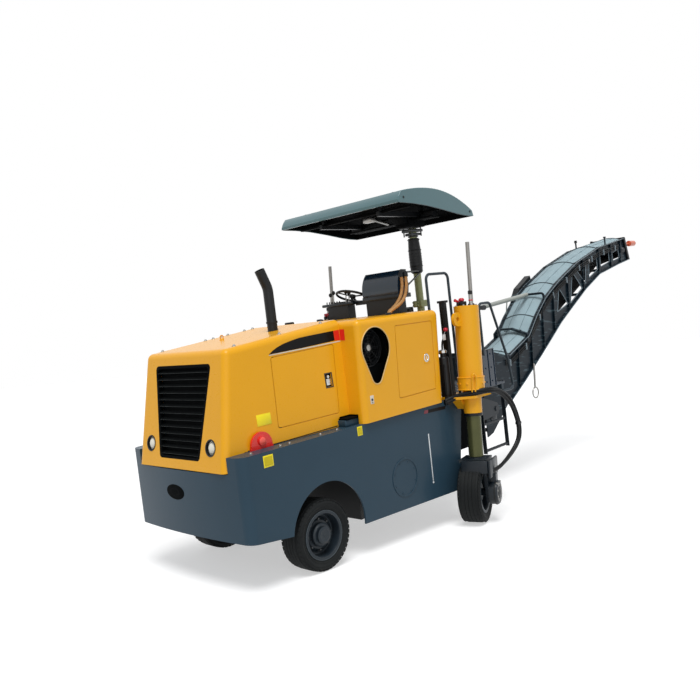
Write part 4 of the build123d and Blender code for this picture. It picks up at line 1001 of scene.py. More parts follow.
# ---- hood
@dataclass
class Hood(Assembly):
    """Engine hood: what sits in its front, on its flanks and on its top.

    Attributes:
        foot_x: Front edge at its foot.
        foot_half: Half its width there.
        foot_z: Height of its foot.
        lean: How far the front leans back over its height.
        height: Height of the front.
        taper: How the flank narrows forward and upward.
        lamp_y: Lamps out from the middle.
        lamp_up: Lamps up the front face.
    """

    foot_x: float = 1378.0
    foot_half: float = 648.0
    foot_z: float = 1010.0
    lean: float = 181.0
    height: float = 957.0
    taper: tuple[float, float] = (0.0249, 0.0549)
    lamp_y: float = 449.0
    lamp_up: float = 196.0

    def flank(self, x: float, z: float, lift: float = 0.0) -> Point:
        """Point on the left flank."""
        run, rise = self.taper
        return (x, self.foot_half - run * (x - self.foot_x) - rise * (z - self.foot_z) + lift, z)

    def nose(self) -> Matrix:
        """Place at the foot of the front: X to the machine's left, Y up the face, Z out of it."""
        return facing((self.foot_x, 0, self.foot_z), (self.height, 0, self.lean))

    def roof(self, x: float) -> float:
        """Height of the hood's top."""
        return 2072 + 0.0951 * (93 - x)

    def build(self) -> None:
        """Make every piece."""
        self.grille()
        for side, name in ((1, "left"), (-1, "right")):
            self.lamp(side * self.lamp_y, name)
        self.stripes()
        self.stickers()
        self.foot_line()
        self.top_fittings()
        self.lug_core()

    def lug_core(self) -> None:
        """Lighter cap on the pin of each tie-down lug."""
        core = self.mould("lug_core", LUG_CORE, True)
        core.lathe([(0, 7), (18, 6), (29, 2), (34, -2), (0, -2)], facing((1004, 692, 1200)), 32)

    def grille(self) -> None:
        """Black screen behind the slats, painted shade in the grille, and a thin pale rod along each slat, a painted
        highlight on its edge.
        """
        place = self.nose()
        # The screen takes the shadow black: painted shade behind the slats.
        screen = self.mould("grille_shade_screen", SHADOW)
        slope = math.hypot(self.height, self.lean) / self.height
        low, high = (80 * slope + 20, 853 * slope - 20)
        corners = [(-283, low), (283, low), (399, high), (-399, high)]
        screen.plate([(y, up, -48) for y, up in corners], (0, 0, 4), 0, place)
        # Thin pale rods along the slats: painted highlights on their lit edges.
        edges = self.mould("slat_highlights", EDGE_GREY)
        low, high = 80 * slope + 25, 853 * slope - 25
        for row in range(13):
            up = low + (row + 0.5) * (high - low) / 13
            half = 299 + (up - low) / (high - low) * 118 - 22
            start, end = (-half, up - 13.5, -2), (half, up - 13.5, -2)
            edges.rod(start, end, 1.1, 6, place=place)

    def lamp(self, across: float, name: str) -> None:
        """One headlamp: dark lip, bright ring and a fluted lens.

        Args:
            across: Place across the machine.
            name: Side, for the piece's name.
        """
        spot = self.nose() @ move(across, self.lamp_up, 0)
        lens = self.mould(f"lamp_lens_{name}", LAMP_PALE)
        lens.lathe([(0, 4), (18, 2.5), (34, -3), (46, -12), (53, -22), (54, -29), (0, -29)], spot)
        for ridge in range(-4, 5):
            reach = math.sqrt(1 - (ridge / 5.4) ** 2) * 50
            x = ridge * 10.2
            sink = -0.006 * x * x - 0.5
            lens.hose([(x, y, z + sink) for y, z in ((-reach, -19), (-reach / 2, 0), (reach / 2, 0), (reach, -19))],
                1.6, spot, 1)
        ring = self.mould(f"lamp_ring_{name}", CHROME)
        ring.ring(56.5, 3.2, spot @ move(0, 0, -22))
        lip = self.mould(f"lamp_lip_{name}", PLASTIC)
        lip.lathe([(59.8, -50), (59.8, 2), (63, 4.5), (69, 3.5), (70.5, 0), (70.5, -4)], spot)

    def stripes(self) -> None:
        """Black sweep with its red end on both flanks, and the pale line below it, a painted highlight on the edge
        there.
        """
        arc = [(774, 1872), (727, 1900), (677, 1921), (610, 1942), (529, 1957), (470, 1967), (413, 1974), (300, 1980),
            (178, 1985), (80, 1989), (19, 1991)]
        under = [(19, 1903), (403, 1884)]
        sweep = self.mould("sweep_black", STRIPE_BLACK, True)
        sweep.plate([self.flank(x, z, 0.6) for x, z in arc + under], (0, 1.2, 0))
        red = self.mould("sweep_red", STRIPE_RED, True)
        red.plate([self.flank(x, z, 0.6) for x, z in ((19, 1991), (-50, 1994), (-50, 1900), (19, 1903))], (0, 1.2, 0))
        back = [(-24.2 - 0.0399 * (z - 1138), y, z) for y, z in ((634, 1896), (692, 1892), (692, 1994), (628, 1996))]
        red.plate(back, (1.2, 0, 0))
        # The pale line is a painted highlight on the edge under the sweep.
        line = self.mould("sweep_highlight", PALE_PLATE_AND_HIGHLIGHT, True)
        line.plate([self.flank(x, z, 0.6) for x, z in ((774, 1869), (403, 1881), (-48, 1896), (-48, 1886),
            (403, 1871), (774, 1861))], (0, 1, 0))

    def stickers(self) -> None:
        """Blank yellow plates on the flank and on the lower body."""
        blank = self.mould("blank_plates", STICKER, True)
        spot = facing(self.flank(927, 1358, 0.5), (self.taper[0], 1, self.taper[1]))
        blank.block((-72.5, -47, 0), (72.5, 47, 1.6), 0.5, spot)
        for x, z, wide, high in ((1075, 1062, 100, 94), (23, 1086, 64, 82)):
            blank.block((x - wide / 2, 822, z - high / 2), (x + wide / 2, 823.6, z + high / 2), 0.5)
        border = self.mould("plate_fields", STICKER_DARK, True)
        for x, z, wide, high in ((1075, 1062, 80, 72), (23, 1086, 46, 62)):
            border.block((x - wide / 2, 823.4, z - high / 2), (x + wide / 2, 824.2, z + high / 2))
            border.block((x - wide / 2 + 5, 823.9, z - high / 2 + 5), (x + wide / 2 - 5, 824.8, z + high / 2 - 5))

    def foot_line(self) -> None:
        """Dark gap between the hood and the ledge, and the rubber strip in it."""
        strip = self.mould("hood_seal", RUBBER_TRIM, True)
        strip.hose([self.flank(x, z, 1) for x, z in ((1130, 1141), (627, 1143), (143, 1153))], 3.5)

    def top_fittings(self) -> None:
        """Domed nuts along the top and the lifting ring."""
        nuts = self.mould("top_nuts", STEEL)
        for x, y in ((1057, -540), (580, -545), (488, -548), (382, -550), (309, -552), (99, -556), (-10, -560),
                (1057, 540), (580, 548), (99, 560)):
            nuts.lathe([(0, 16), (8, 14), (12, 6), (14, 0), (22, 0), (22, -4), (0, -4)], move(x, y, self.roof(x)), 16)
        rings = self.mould("top_rings", ORANGE)
        spot = move(625, -217, self.roof(625))
        rings.lathe([(0, 12), (16, 12), (22, 4), (22, -4), (0, -4)], spot, 20)
        rings.ring(17, 5, spot @ move(0, 0, 26) @ Matrix.Rotation(math.pi / 2, 4, "X"), 24)


@dataclass
class Latches(Assembly):
    """Door latches of the hood and the rear box.

    Attributes:
        hood: The hood that gives the flank.
    """

    hood: Hood

    def build(self) -> None:
        """Make the latches on both sides."""
        run, rise = self.hood.taper
        flank = facing(self.hood.flank(160, 1565), (run, 1, rise))
        box = facing((-980, 855, 1609))
        for name, spot, wide, high, round_face in (("engine_door", flank, 70, 112, False),
                ("tank_door", box, 62, 84, True)):
            for side in (1, -1):
                body = f"{name}_{'left' if side > 0 else 'right'}"
                self.latch(body, spot, wide, high, round_face, side)

    def latch(self, body: str, spot: Matrix, wide: float, high: float, round_face: bool, side: int) -> None:
        """One latch: rim, a pan in the shadow black that paints the shade of its recess, and bright paddle.

        Args:
            body: The door it is on.
            spot: Its place on the left side.
            wide: Width of the pan.
            high: Height of the pan.
            round_face: True for the latch with a round face.
            side: 1 for the left, -1 for the right.
        """
        swing = Matrix.Diagonal((1, side, 1, 1)) @ spot
        pan = self.mould(f"{body}_latch_pan", SHADOW, body=body)
        rim = self.mould(f"{body}_latch_rim", ORANGE if round_face else LATCH_RIM, body=body, slot="grey_steel")
        paddle = self.mould(f"{body}_latch_paddle", CHROME, body=body)
        w, h = wide / 2, high / 2
        pan.block((1 - w, 1 - h, -30), (w - 1, h - 1, -9), 2, swing)
        edge = 11
        for low, far in (((-w - edge, -h - edge), (w + edge, -h)), ((-w - edge, h), (w + edge, h + edge)),
                ((-w - edge, -h), (-w, h)), ((w, -h), (w + edge, h))):
            rim.block((*low, -1), (*far, 2.4), 0.8, swing)
        if round_face:
            rim.block((-w, -h, -1), (w, h, 0.6), 0, swing)
            paddle.lathe([(0, 0.5), (20, 0.5), (24, -2), (27, 3), (40, 3), (42, 0), (42, -1.2), (28, -9.5),
                (0, -9.5)], swing, 32)
            paddle.block((-5, -20, -1), (5, 20, 3.6), 1, swing)
        else:
            paddle.block((-29, -44, -9.5), (29, 14, -1), 4, swing)
            paddle.block((-16, -29, -1.5), (16, -19, 1), 1, swing)
            paddle.lathe([(0, -1), (14, -2), (17, -9.5), (0, -9.5)], swing @ move(0, 32, 0), 24)


# ---- lower body and rear box
@dataclass
class Shell(Assembly):
    """What sits on the lower body and on the rear box.

    Attributes:
        side_y: Outside of the lower body.
        box_y: Outside of the rear box.
    """

    side_y: float = 822.0
    box_y: float = 855.0

    def build(self) -> None:
        """Make every piece."""
        self.strip()
        self.gauge()
        self.key_plate()
        self.vent_rim()
        self.ledge()
        self.box_top()
        self.cooler()
        self.tow_pin()
        self.drum_cover()
        self.arch_corners()
        self.shroud()
        self.notch()

    def arch_corners(self) -> None:
        """Corners of plate that complete the round wheel arches, front and rear."""
        corners = self.mould("arch_corners", SLATE, True)
        for angles, corner in (((167.5, 163, 158, 153, 148, 143, 139.1), (85, 600)),
                ((30.9, 34, 37.5, 40.9), (855, 600))):
            arc = [(495 + 420 * math.cos(math.radians(a)), 325 + 420 * math.sin(math.radians(a))) for a in angles]
            corners.plate(wall(arc + [corner], self.side_y - 15.9), (0, 15.8, 0))

    def shroud(self) -> None:
        """Black shroud round each cooler fan, out to the box's wall: shadow black that paints the shade inside the
        air openings.
        """
        sheets = self.mould("fan_shroud", SHADOW, True)
        for x in (-478, -96):
            sheets.block((x - 2, 642, 1402), (x + 2, 800, 1996))
        sheets.block((-478, 642, 1992), (-96, 800, 1996))
        sheets.plate(wall(((-470, 1402), (-80, 1402), (-80, 1640), (-470, 1640)), 756), (0, 3, 0))

    def notch(self) -> None:
        """Step bracket in the notch between hood and rear box."""
        step = self.mould("notch_step", SLATE, True)
        lip = self.mould("notch_lip", SHADOW, True)
        step.block((-46, 560, 1139), (132, 762, 1196), 6)
        lip.block((-40, 560, 1196), (118, 772, 1212), 4)

    def strip(self) -> None:
        """Blank maroon square and dark strip below the rear box."""
        square = self.mould("strip_square", MAROON, True)
        blank = self.mould("strip_blank", STRIPE_BLACK, True)
        square.plate(wall(((-888, 1069), (-898, 1101), (-957, 1099), (-948, 1067)), self.side_y), (0, 1.4, 0))
        blank.plate(wall(((-948, 1067), (-957, 1099), (-1238, 1088), (-1228, 1056)), self.side_y), (0, 1.4, 0))

    def gauge(self) -> None:
        """White depth mark down the lower body, with its end dot."""
        mark = self.mould("depth_mark", MARK_WHITE, True)
        mark.plate(wall(((-914, 867), (-928, 867), (-924, 400), (-910, 400)), self.side_y), (0, 1.4, 0), 0.4)
        mark.rod((-917, self.side_y, 385), (-917, self.side_y + 3, 385), 10, 20)

    def key_plate(self) -> None:
        """Small plate with the lock of the fuel cap door."""
        spot = facing((-145, self.box_y, 1338))
        plate = self.mould("key_plate", PALE_PLATE_AND_HIGHLIGHT)
        lock = self.mould("key_lock", DARK_STEEL, slot="black_paint")
        plate.block((-23, -38, -1), (23, 38, 2.2), 0.9, spot)
        lock.lathe([(0, 6), (10, 6), (12, 4.5), (12, 0), (0, 0)], spot, 24)
        lock.block((-8, -30, 1), (8, -24, 3.4), 0.6, spot)
        lock.block((-2, -7, 5.5), (2, 7, 6.6), 0, spot)

    def vent_outline(self, grow: float) -> list[Flat]:
        """Points round the drop-shaped air opening.

        Args:
            grow: How far outside its edge.

        Returns:
            The (x, z) points.
        """
        upper, lower, wide, narrow = (-273, 1796), (-248, 1536), 190 + grow, 72 + grow
        run, rise = lower[0] - upper[0], lower[1] - upper[1]
        heading = math.atan2(rise, run)
        open_angle = math.acos((wide - narrow) / math.hypot(run, rise))
        points = []
        for middle, radius, start, end, steps in ((upper, wide, open_angle, math.tau - open_angle, 26),
                (lower, narrow, -open_angle, open_angle, 9)):
            for step in range(steps + 1):
                angle = heading + start + (end - start) * step / steps
                points.append((middle[0] + radius * math.cos(angle), middle[1] + radius * math.sin(angle)))
        return points

    def vent_rim(self) -> None:
        """Pale orange rods round the air openings: a painted highlight along their lip."""
        rim = self.mould("vent_rim", RIM_PALE, True, smooth=60)
        line = self.vent_outline(-1.5)
        for start, end in zip(line, line[1:] + line[:1]):
            rim.rod(*wall([start, end], self.box_y), 5.5, 8)

    def ledge(self) -> None:
        """Weld bead and bolts along the ledge."""
        bead = self.mould("ledge_bead", SLATE, True)
        bolts = self.mould("ledge_bolts", STEEL, True)
        bead.hose([(x, self.box_y - 20, 1138 + 2) for x in (-60, -600, -1180)], 5)
        for x in (1180, 880, 780, 430, 230):
            spot = move(x, 748, 1138)
            bolts.lathe([(0, 0), (0, 10), (11, 10), (12, 8), (12, 2), (20, 2), (20, 0)], spot, 12)

    def box_top(self) -> None:
        """Small caps and lifting rings on the rear box."""
        caps = self.mould("box_caps", PLASTIC)
        for x, y, radius, height in ((-479, -527, 50, 35), (-345, 93, 30, 30), (-398, 223, 30, 20),
                (-1020, -640, 30, 25)):
            caps.lathe([(0, height), (radius * 0.85, height), (radius, height * 0.8), (radius, 4), (radius * 1.25, 3),
                (radius * 1.25, -3), (0, -3)], move(x, y, 2066), 28)
        seams = self.mould("box_seams", SHADOW)
        for x in (-560, -1010):
            seams.block((x - 3, -760, 2064.5), (x + 3, 760, 2067), 0.8)

    def cooler(self) -> None:
        """Guard wires in front of each cooler fan and the bright hub behind them."""
        guard = self.mould("fan_guards", BLACK, True)
        hub = self.mould("fan_hubs", STEEL, True)
        spot = facing((-273, 766, 1796))
        for radius in (60, 88, 116, 144, 170):
            guard.ring(radius, 1.6, spot, 36, 6)
        for turn in range(4):
            spoke = spot @ Matrix.Rotation(math.pi * turn / 4, 4, "Z")
            guard.rod((-172, 0, -2), (172, 0, -2), 2.2, 6, place=spoke)
        hub.lathe([(0, 8), (22, 8), (30, 3), (32, -4), (0, -4)], spot, 24)

    def tow_pin(self) -> None:
        """Near-black plate behind the tow opening and near-black oval over it, painted shade for the eye's hollow,
        with a dark ring on the oval.
        """
        eye_shade = self.mould("tow_eye_shade", SHADOW)
        pin = self.mould("tow_ring", LINING_SHADE, slot="slate_paint")
        eye_shade.block((1284, -140, 735), (1290, 48, 890), 3)
        spot = facing((1387.4, -82, 812), (1, -0.014, 0)) @ Matrix.Diagonal((2.05, 1, 1, 1))
        eye_shade.lathe([(0, 2.5), (61, 2.5), (65, 0.5), (65, -4), (0, -4)], spot, 48)
        pin.lathe([(22, 2), (26, 3.6), (34, 3.6), (38, 2)], spot, 48)

    def drum_cover(self) -> None:
        """Bolts round the drum's bearing covers on both sides."""
        bolts = self.mould("cover_bolts", SLATE, True)
        for x, z in around(8, 150, 0.5):
            spot = facing((x - 513, self.side_y, z + 536))
            bolts.lathe([(0, 0), (0, 5), (7, 5), (9, 3), (9, 0)], spot, 8)


# ---- wheels
@dataclass
class Wheel(Assembly):
    """A tyre with its tread and what sits in its rim.

    Attributes:
        name: Node suffix, such as front_tyre_left.
        body: The body it rides on.
        side: 1 on the left, -1 on the right.
        turned: Steering angle at rest, in degrees.
        radius: Outside of the tread.
        half: Half the tyre's width.
        bead: Inner radius of the tyre.
        lugs: Tread blocks round the tyre.
    """

    name: str
    body: str
    side: int
    turned: float = 0.0
    radius: float = 304.6
    half: float = 118.0
    bead: float = 196.0
    lugs: int = 44

    def issue(self, name: str, mould: Mould, finish: Finish, **more: object) -> Piece:
        """File one of this wheel's pieces, with the tyre's name before its own."""
        return self.shop.issue(f"{self.name}_{name}", mould, finish, self.body, level=False, **more)

    def place(self) -> Matrix:
        """Standing place of the wheel's middle, with Z along its axle and outwards.

        Returns:
            The place.
        """
        low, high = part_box(self.name)
        return (Matrix.Translation((Vector(low) + Vector(high)) / 2) @ Matrix.Rotation(math.radians(self.turned), 4,
            "Z") @ Matrix.Rotation(-math.pi / 2 * self.side, 4, "X"))

    def tyre(self) -> None:
        """The tyre: body with sidewall rings and shoulder blocks, in place of the plain one."""
        place, half, bead, radius = self.place(), self.half, self.bead, self.radius
        floor = radius - 6
        wall_side = [(bead, half - 38), (bead + 10, half - 22), (bead + 28, half - 13), (bead + 34, half - 9),
            (bead + 39, half - 11), (bead + 60, half - 3), (bead + 64, half), (bead + 70, half - 3),
            (radius - 40, half - 4), (radius - 36, half - 1), (radius - 24, half - 8), (radius - 10, half - 22),
            (floor, half - 40)]
        crown = []
        for middle in (55, 18.5):
            crown += [(floor, middle + 16.5), (radius - 1, middle + 15.5), (radius, middle),
                (radius - 1, middle - 15.5), (floor, middle - 16.5)]
        profile = wall_side + crown
        profile += [(r, -y) for r, y in reversed(profile)]
        mould = Mould()
        mould.lathe(profile, place, 72)
        for index in range(self.lugs):
            for edge in (1, -1):
                turn = Matrix.Rotation(math.tau * (index + 0.25 * edge) / self.lugs, 4, "Z")
                spot = place @ turn @ move(radius - 14.5, 0, edge * (half - 27.5))
                spot = spot @ Matrix.Rotation(math.radians(38 * edge), 4, "Y")
                mould.block((-10, -16.5, -15.5), (1.8, 16.5, 15.5), 0, spot)
        piece = self.issue("tread", mould, RUBBER, smooth=30)
        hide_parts(self.name)

    def fittings(self) -> None:
        """Wheel nuts, hub cap and pale rings on the rim, painted highlights on its lip and ridges."""
        place = self.place()
        nuts = self.mould("nuts", DARK_STEEL, slot="black_paint")
        rings = self.mould("rings", RIM_EDGE)
        cap = self.mould("cap", HUB_SLATE)
        for x, y in around(8, 131):
            nuts.lathe([(0, 20), (9, 20), (12.5, 16), (12.5, 3), (17, 2), (17, -4), (0, -4)], place @ move(x, y, 26),
                6)
        # The pale rings paint highlights on the rim's lip and ridges.
        for radius, out, thick in ((206.5, 103.5, 2.2), (183, 98, 1.6), (166, 13.5, 1.8)):
            rings.ring(radius, thick, place @ move(0, 0, out), 56, 8)
        cap.lathe([(0, 6), (12, 6), (14, 3), (46, 3), (52, 5.5), (56, 3), (66, 3), (72, 0), (72, -4), (0, -4)],
            place @ move(0, 0, self.hub_out()), 36)

    def hub_out(self) -> float:
        """How far out of the wheel's middle the hub's outer face stands.

        Returns:
            The distance.
        """
        if self.turned:
            return 42
        low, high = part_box(self.name.replace("tyre", "rim"))
        tyre_low, tyre_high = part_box(self.name)
        middle = (tyre_low[1] + tyre_high[1]) / 2
        return min(high[1] - middle if self.side > 0 else middle - low[1], 0.116) * 1000

    def build(self) -> None:
        """Make every piece."""
        self.tyre()
        self.fittings()


# ---- rear legs
@dataclass
class Leg(Assembly):
    """One rear leg: its column's fittings, its hoses and what sits on its fork.

    Attributes:
        side: 1 on the left, -1 on the right.
        hose_radius: Radius of the two drive hoses.
    """

    side: int
    hose_radius: float = 18.0

    def __post_init__(self) -> None:
        """Find the column's axis and top in the standing frame, in millimetres."""
        self.name = "left" if self.side > 0 else "right"
        low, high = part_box(f"leg_tube_{self.name}")
        self.axis = Vector((low[0] + high[0], low[1] + high[1], 0)) * 500
        self.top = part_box(f"leg_column_{self.name}")[1][2] * 1000

    def up(self, x: float, y: float, z: float) -> Vector:
        """Standing point from the column's axis, with Y outwards and Z from the ground."""
        return self.axis + Vector((x, y * self.side, z))

    def stand(self, x: float, y: float, z: float) -> Vector:
        """Standing point in metres of one in the machine frame."""
        return self.shop.stance.matrix @ at(x, y, z)

    def issue(self, name: str, mould: Mould, finish: Finish, body: str = "chassis", level: bool = False) -> Piece:
        """File one of this leg's pieces, with its side after the name."""
        return self.shop.issue(f"{name}_{self.name}", mould, finish, body, level=level)

    def build(self) -> None:
        """Make every piece."""
        self.cap()
        self.collar()
        self.fork()
        self.hoses()

    def cap(self) -> None:
        """Cap bolts, black valve block, red knob and the sight glass on the column's top."""
        top = self.top
        bolts = self.mould("cap_bolts", STEEL)
        valve = self.mould("cap_valve", BLACK)
        red = self.mould("cap_red", RED_KNOB)
        glass = self.mould("cap_glass", STEEL)
        for x, y in around(8, 104, 0.5):
            bolts.lathe([(0, 12), (8, 12), (10, 9), (10, 0), (0, 0)], move(*self.up(x, y, top)), 6)
        valve.block(self.up(10, -50, top), self.up(92, 20, top + 46), 6)
        valve.rod(self.up(92, -20, top + 22), self.up(116, -20, top + 22), 14)
        valve.rod(self.up(-30, -40, top), self.up(-30, -40, top + 30), 22, tip=18)
        valve.lathe([(0, 24), (30, 22), (34, 16), (34, 0), (0, 0)], move(*self.up(-66, 20, top)), 24)
        red.lathe([(0, 36), (18, 34), (27, 26), (30, 14), (26, 4), (14, 0), (0, 0)],
            move(*self.up(52, -14, top + 46)), 20)
        red.rod(self.up(80, -30, top + 40), self.up(128, -44, top + 62), 13, tip=16, rim=3)
        glass_spot = move(*self.up(-20, 48, top))
        glass.lathe([(0, 115), (16, 115), (19, 110), (19, 6), (24, 4), (24, 0), (0, 0)], glass_spot, 24)
        cap = self.mould("cap_lid", PLASTIC)
        cap.lathe([(0, 152), (18, 151), (23, 146), (23, 116), (0, 116)], glass_spot, 24)
        red.lathe([(19.5, 60), (23.5, 58), (23.5, 50), (19.5, 48)], glass_spot, 24)

    def collar(self) -> None:
        """Rounded bands, bolts and the carrying loop of the column's foot, and the scraper under it."""
        bands = self.mould("collar_bands", ORANGE)
        loop = self.mould("collar_loop", ORANGE)
        scraper = self.mould("leg_scraper", BLACK)
        for z in (1352, 1474):
            bands.ring(134.5, 6, move(*self.up(0, 0, z)), 56, 8)
        for x, y in around(10, 134, 0.5):
            spot = facing(self.up(x, y, 1413), (x, y * self.side, 0))
            bands.lathe([(0, 8), (8, 8), (11, 5), (11, -3), (0, -3)], spot, 8)
        loop.hose([self.up(*p) for p in ((110, 82, 1330), (122, 96, 1440), (122, 104, 1496), (108, 116, 1512),
            (92, 124, 1496), (84, 118, 1440), (84, 104, 1330))], 8)
        scraper.lathe([(74.5, -30), (92, -30), (96, -24), (96, -2), (90, 2), (74.5, 2)], move(*self.up(0, 0, 1112)),
            48)

    def fork(self) -> None:
        """Motor cover with its bolts and ports, and the flanges of the fork, as it is parked."""
        body = f"rear_steer_{self.name}"
        turn = (move(*self.axis) @ Matrix.Rotation(math.radians(21), 4, "Z") @ Matrix.Diagonal((1, self.side, 1, 1)))
        bolts = self.mould("motor_bolts", STEEL, body=body)
        cover = self.mould("motor_cover", BLACK, body=body)
        fittings = self.mould("motor_fittings", STEEL, body=body)
        head = self.mould("fork_stiffener", DARK_SLATE, body=body)
        face = facing((0, 215.8, 305))
        for x, y in around(9, 84):
            bolts.lathe([(0, 4), (7, 4), (10, 2.5), (10, -2), (0, -2)], turn @ face @ move(x, y, 0), 6)
        cover.lathe([(0, 10), (24, 10), (30, 6), (56, 6), (62, 0), (62, -4), (0, -4)], turn @ face, 36)
        cover.lathe([(120.5, -20), (124.5, -22), (124.5, -34), (120.5, -36)], turn @ face, 48)
        for x in (-22, 22):
            fittings.rod((x, 150, 494), (x, 150, 520), 18, 6, place=turn)
            fittings.rod((x, 150, 520), (x, 150, 548), 14, place=turn)
            fittings.rod((x * 2.6, 196, 400), (x * 2.6, 218, 400), 13, 6, place=turn)
        head.block((-120, 128, 560), (120, 158, 600), 4, turn)
        head.block((150, -118, 520), (186, 150, 648), 12, turn)
        head.block((-170, 150, 470), (170, 176, 648), 10, turn)
        for x in (-96, -32, 32, 96):
            head.rod((x, 158, 580), (x, 168, 580), 12, 6, place=turn)

    def hoses(self) -> None:
        """Two drive hoses from the ledge, in a wide loop behind the leg, down to the motor."""
        reach = self.side
        for index, (ahead, out, grow) in enumerate(((0, 0, 0), (34, 26, 34))):
            upper = [(-1215, 838, 1112 + out), (-1262, 850, 1130 + out), (-1330, 950, 1160 + out),
                (-1400, 1090, 1184 + out), (-1520, 1168 + out * 0.6, 1192 + out), (-1660, 1178, 1166 + out),
                (-1820 - grow, 1180, 1060 + out), (-1930 - grow, 1180, 910), (-1966 - grow, 1178, 780)]
            lower = [(-1966 - grow, 1178, 780), (-1976 - grow, 1176, 690), (-1940 - grow, 1172, 600),
                (-1850 - grow, 1170, 530), (-1740, 1168, 470 - grow * 0.3), (-1620, 1166, 420),
                (-1560 + ahead, 1162, 400), (-1480 + ahead, 1158, 390)]
            hose = Mould()
            hose.hose([(x, y * reach, z) for x, y, z in upper], self.hose_radius)
            piece = self.issue(f"leg_hose_{index}", hose, HOSE, "", level=True)
            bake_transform(piece)
            hose = Mould()
            hose.hose([(x, y * reach, z) for x, y, z in lower], self.hose_radius)
            piece = self.issue(f"leg_hose_low_{index}", hose, HOSE, "", level=True)
            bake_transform(piece)
        clip = self.mould("hose_clip", BLACK, body=f"leg_{self.name}", level=True)
        clip.block((-2018, 1158 * reach, 764), (-1948, 1196 * reach, 794), 6)
        saddle = self.mould("hose_saddle", BLACK, level=True)
        saddle.block((-1272, 826 * reach, 1096), (-1236, 866 * reach, 1176), 5)


# ---- operator's station
@dataclass
class Cushion(Assembly):
    """A sewn pad: an outline of rounded corners, puffed by a cloth simulation, in metres.

    Attributes:
        name: The piece's name.
        size: Along X, Y and Z of its own place.
        place: Machine-frame place of its middle.
        channels: Sewn channels across it.
        cap: How far a point may move in the simulation.
    """

    name: str
    size: Point
    place: Matrix
    channels: int = 3
    cap: float = 0.012

    def build(self) -> Piece:
        """Make the pad, puff it, sew it and file it.

        Returns:
            The piece.
        """
        mould = Mould()
        half = Vector(self.size) / 2 - Vector((0.008, 0.008, 0.010))
        mould.block(-half * 1000, half * 1000, 28)
        bmesh.ops.subdivide_edges(mould.work, edges=mould.work.edges[:], cuts=2, use_grid_fill=True)
        mesh = bpy.data.meshes.new(self.name)
        mould.work.to_mesh(mesh)
        mould.work.free()
        pad = add(self.name, mesh)
        self.remesh(pad)
        self.puff(pad)
        self.sew(pad)
        pad.data.transform(self.shop.stance.matrix @ self.place)
        pad.data.shade_smooth()
        self.shop.file(pad, VINYL, "chassis")
        return pad

    def bake(self, pad: Piece) -> None:
        """Apply what modifiers the pad has.

        Args:
            pad: The pad.
        """
        bpy.context.view_layer.update()
        seen = pad.evaluated_get(bpy.context.evaluated_depsgraph_get())
        final = bpy.data.meshes.new_from_object(seen)
        old = pad.data
        pad.modifiers.clear()
        pad.data = final
        bpy.data.meshes.remove(old)

    def remesh(self, pad: Piece) -> None:
        """Give the pad an even mesh.

        Args:
            pad: The pad.
        """
        even = pad.modifiers.new("even", "REMESH")
        even.mode = "VOXEL"
        even.voxel_size = 0.009
        self.bake(pad)

    def puff(self, pad: Piece) -> None:
        """Blow the pad up as cloth and cap how far each point moves.

        Args:
            pad: The pad.
        """
        before = [v.co.copy() for v in pad.data.vertices]
        cloth = pad.modifiers.new("cloth", "CLOTH")
        cloth.settings.use_pressure = True
        cloth.settings.uniform_pressure_force = 4
        cloth.settings.effector_weights.gravity = 0
        cloth.settings.quality = 4
        scene = bpy.context.scene
        for frame in range(1, 17):
            scene.frame_set(frame)
        self.bake(pad)
        scene.frame_set(1)
        for vertex, start in zip(pad.data.vertices, before):
            step = vertex.co - start
            if step.length > self.cap:
                vertex.co = start + step * (self.cap / step.length)

    def sew(self, pad: Piece) -> None:
        """Press the channels and the piped seam into the pad.

        Args:
            pad: The pad.
        """
        work = bmesh.new()
        work.from_mesh(pad.data)
        long_half, wide_half = self.size[0] / 2, self.size[1] / 2
        for vertex in work.verts:
            x, y = vertex.co.x / long_half, vertex.co.y / wide_half
            if vertex.co.z <= 0:
                continue
            groove = 0
            for channel in range(self.channels):
                line = -1 + 2 * (channel + 1) / (self.channels + 1)
                groove = max(groove, math.exp(-((x - line) * long_half / 0.008) ** 2))
            crown = max(0, 1 - x ** 4) * max(0, 1 - y ** 4)
            vertex.co.z += 0.010 * crown - 0.010 * groove * crown
        bmesh.ops.smooth_vert(work, verts=work.verts, factor=0.4, use_axis_x=True, use_axis_y=True, use_axis_z=True)
        work.to_mesh(pad.data)
        work.free()
        finer = pad.modifiers.new("finer", "SUBSURF")
        finer.levels = finer.render_levels = 1
        self.bake(pad)


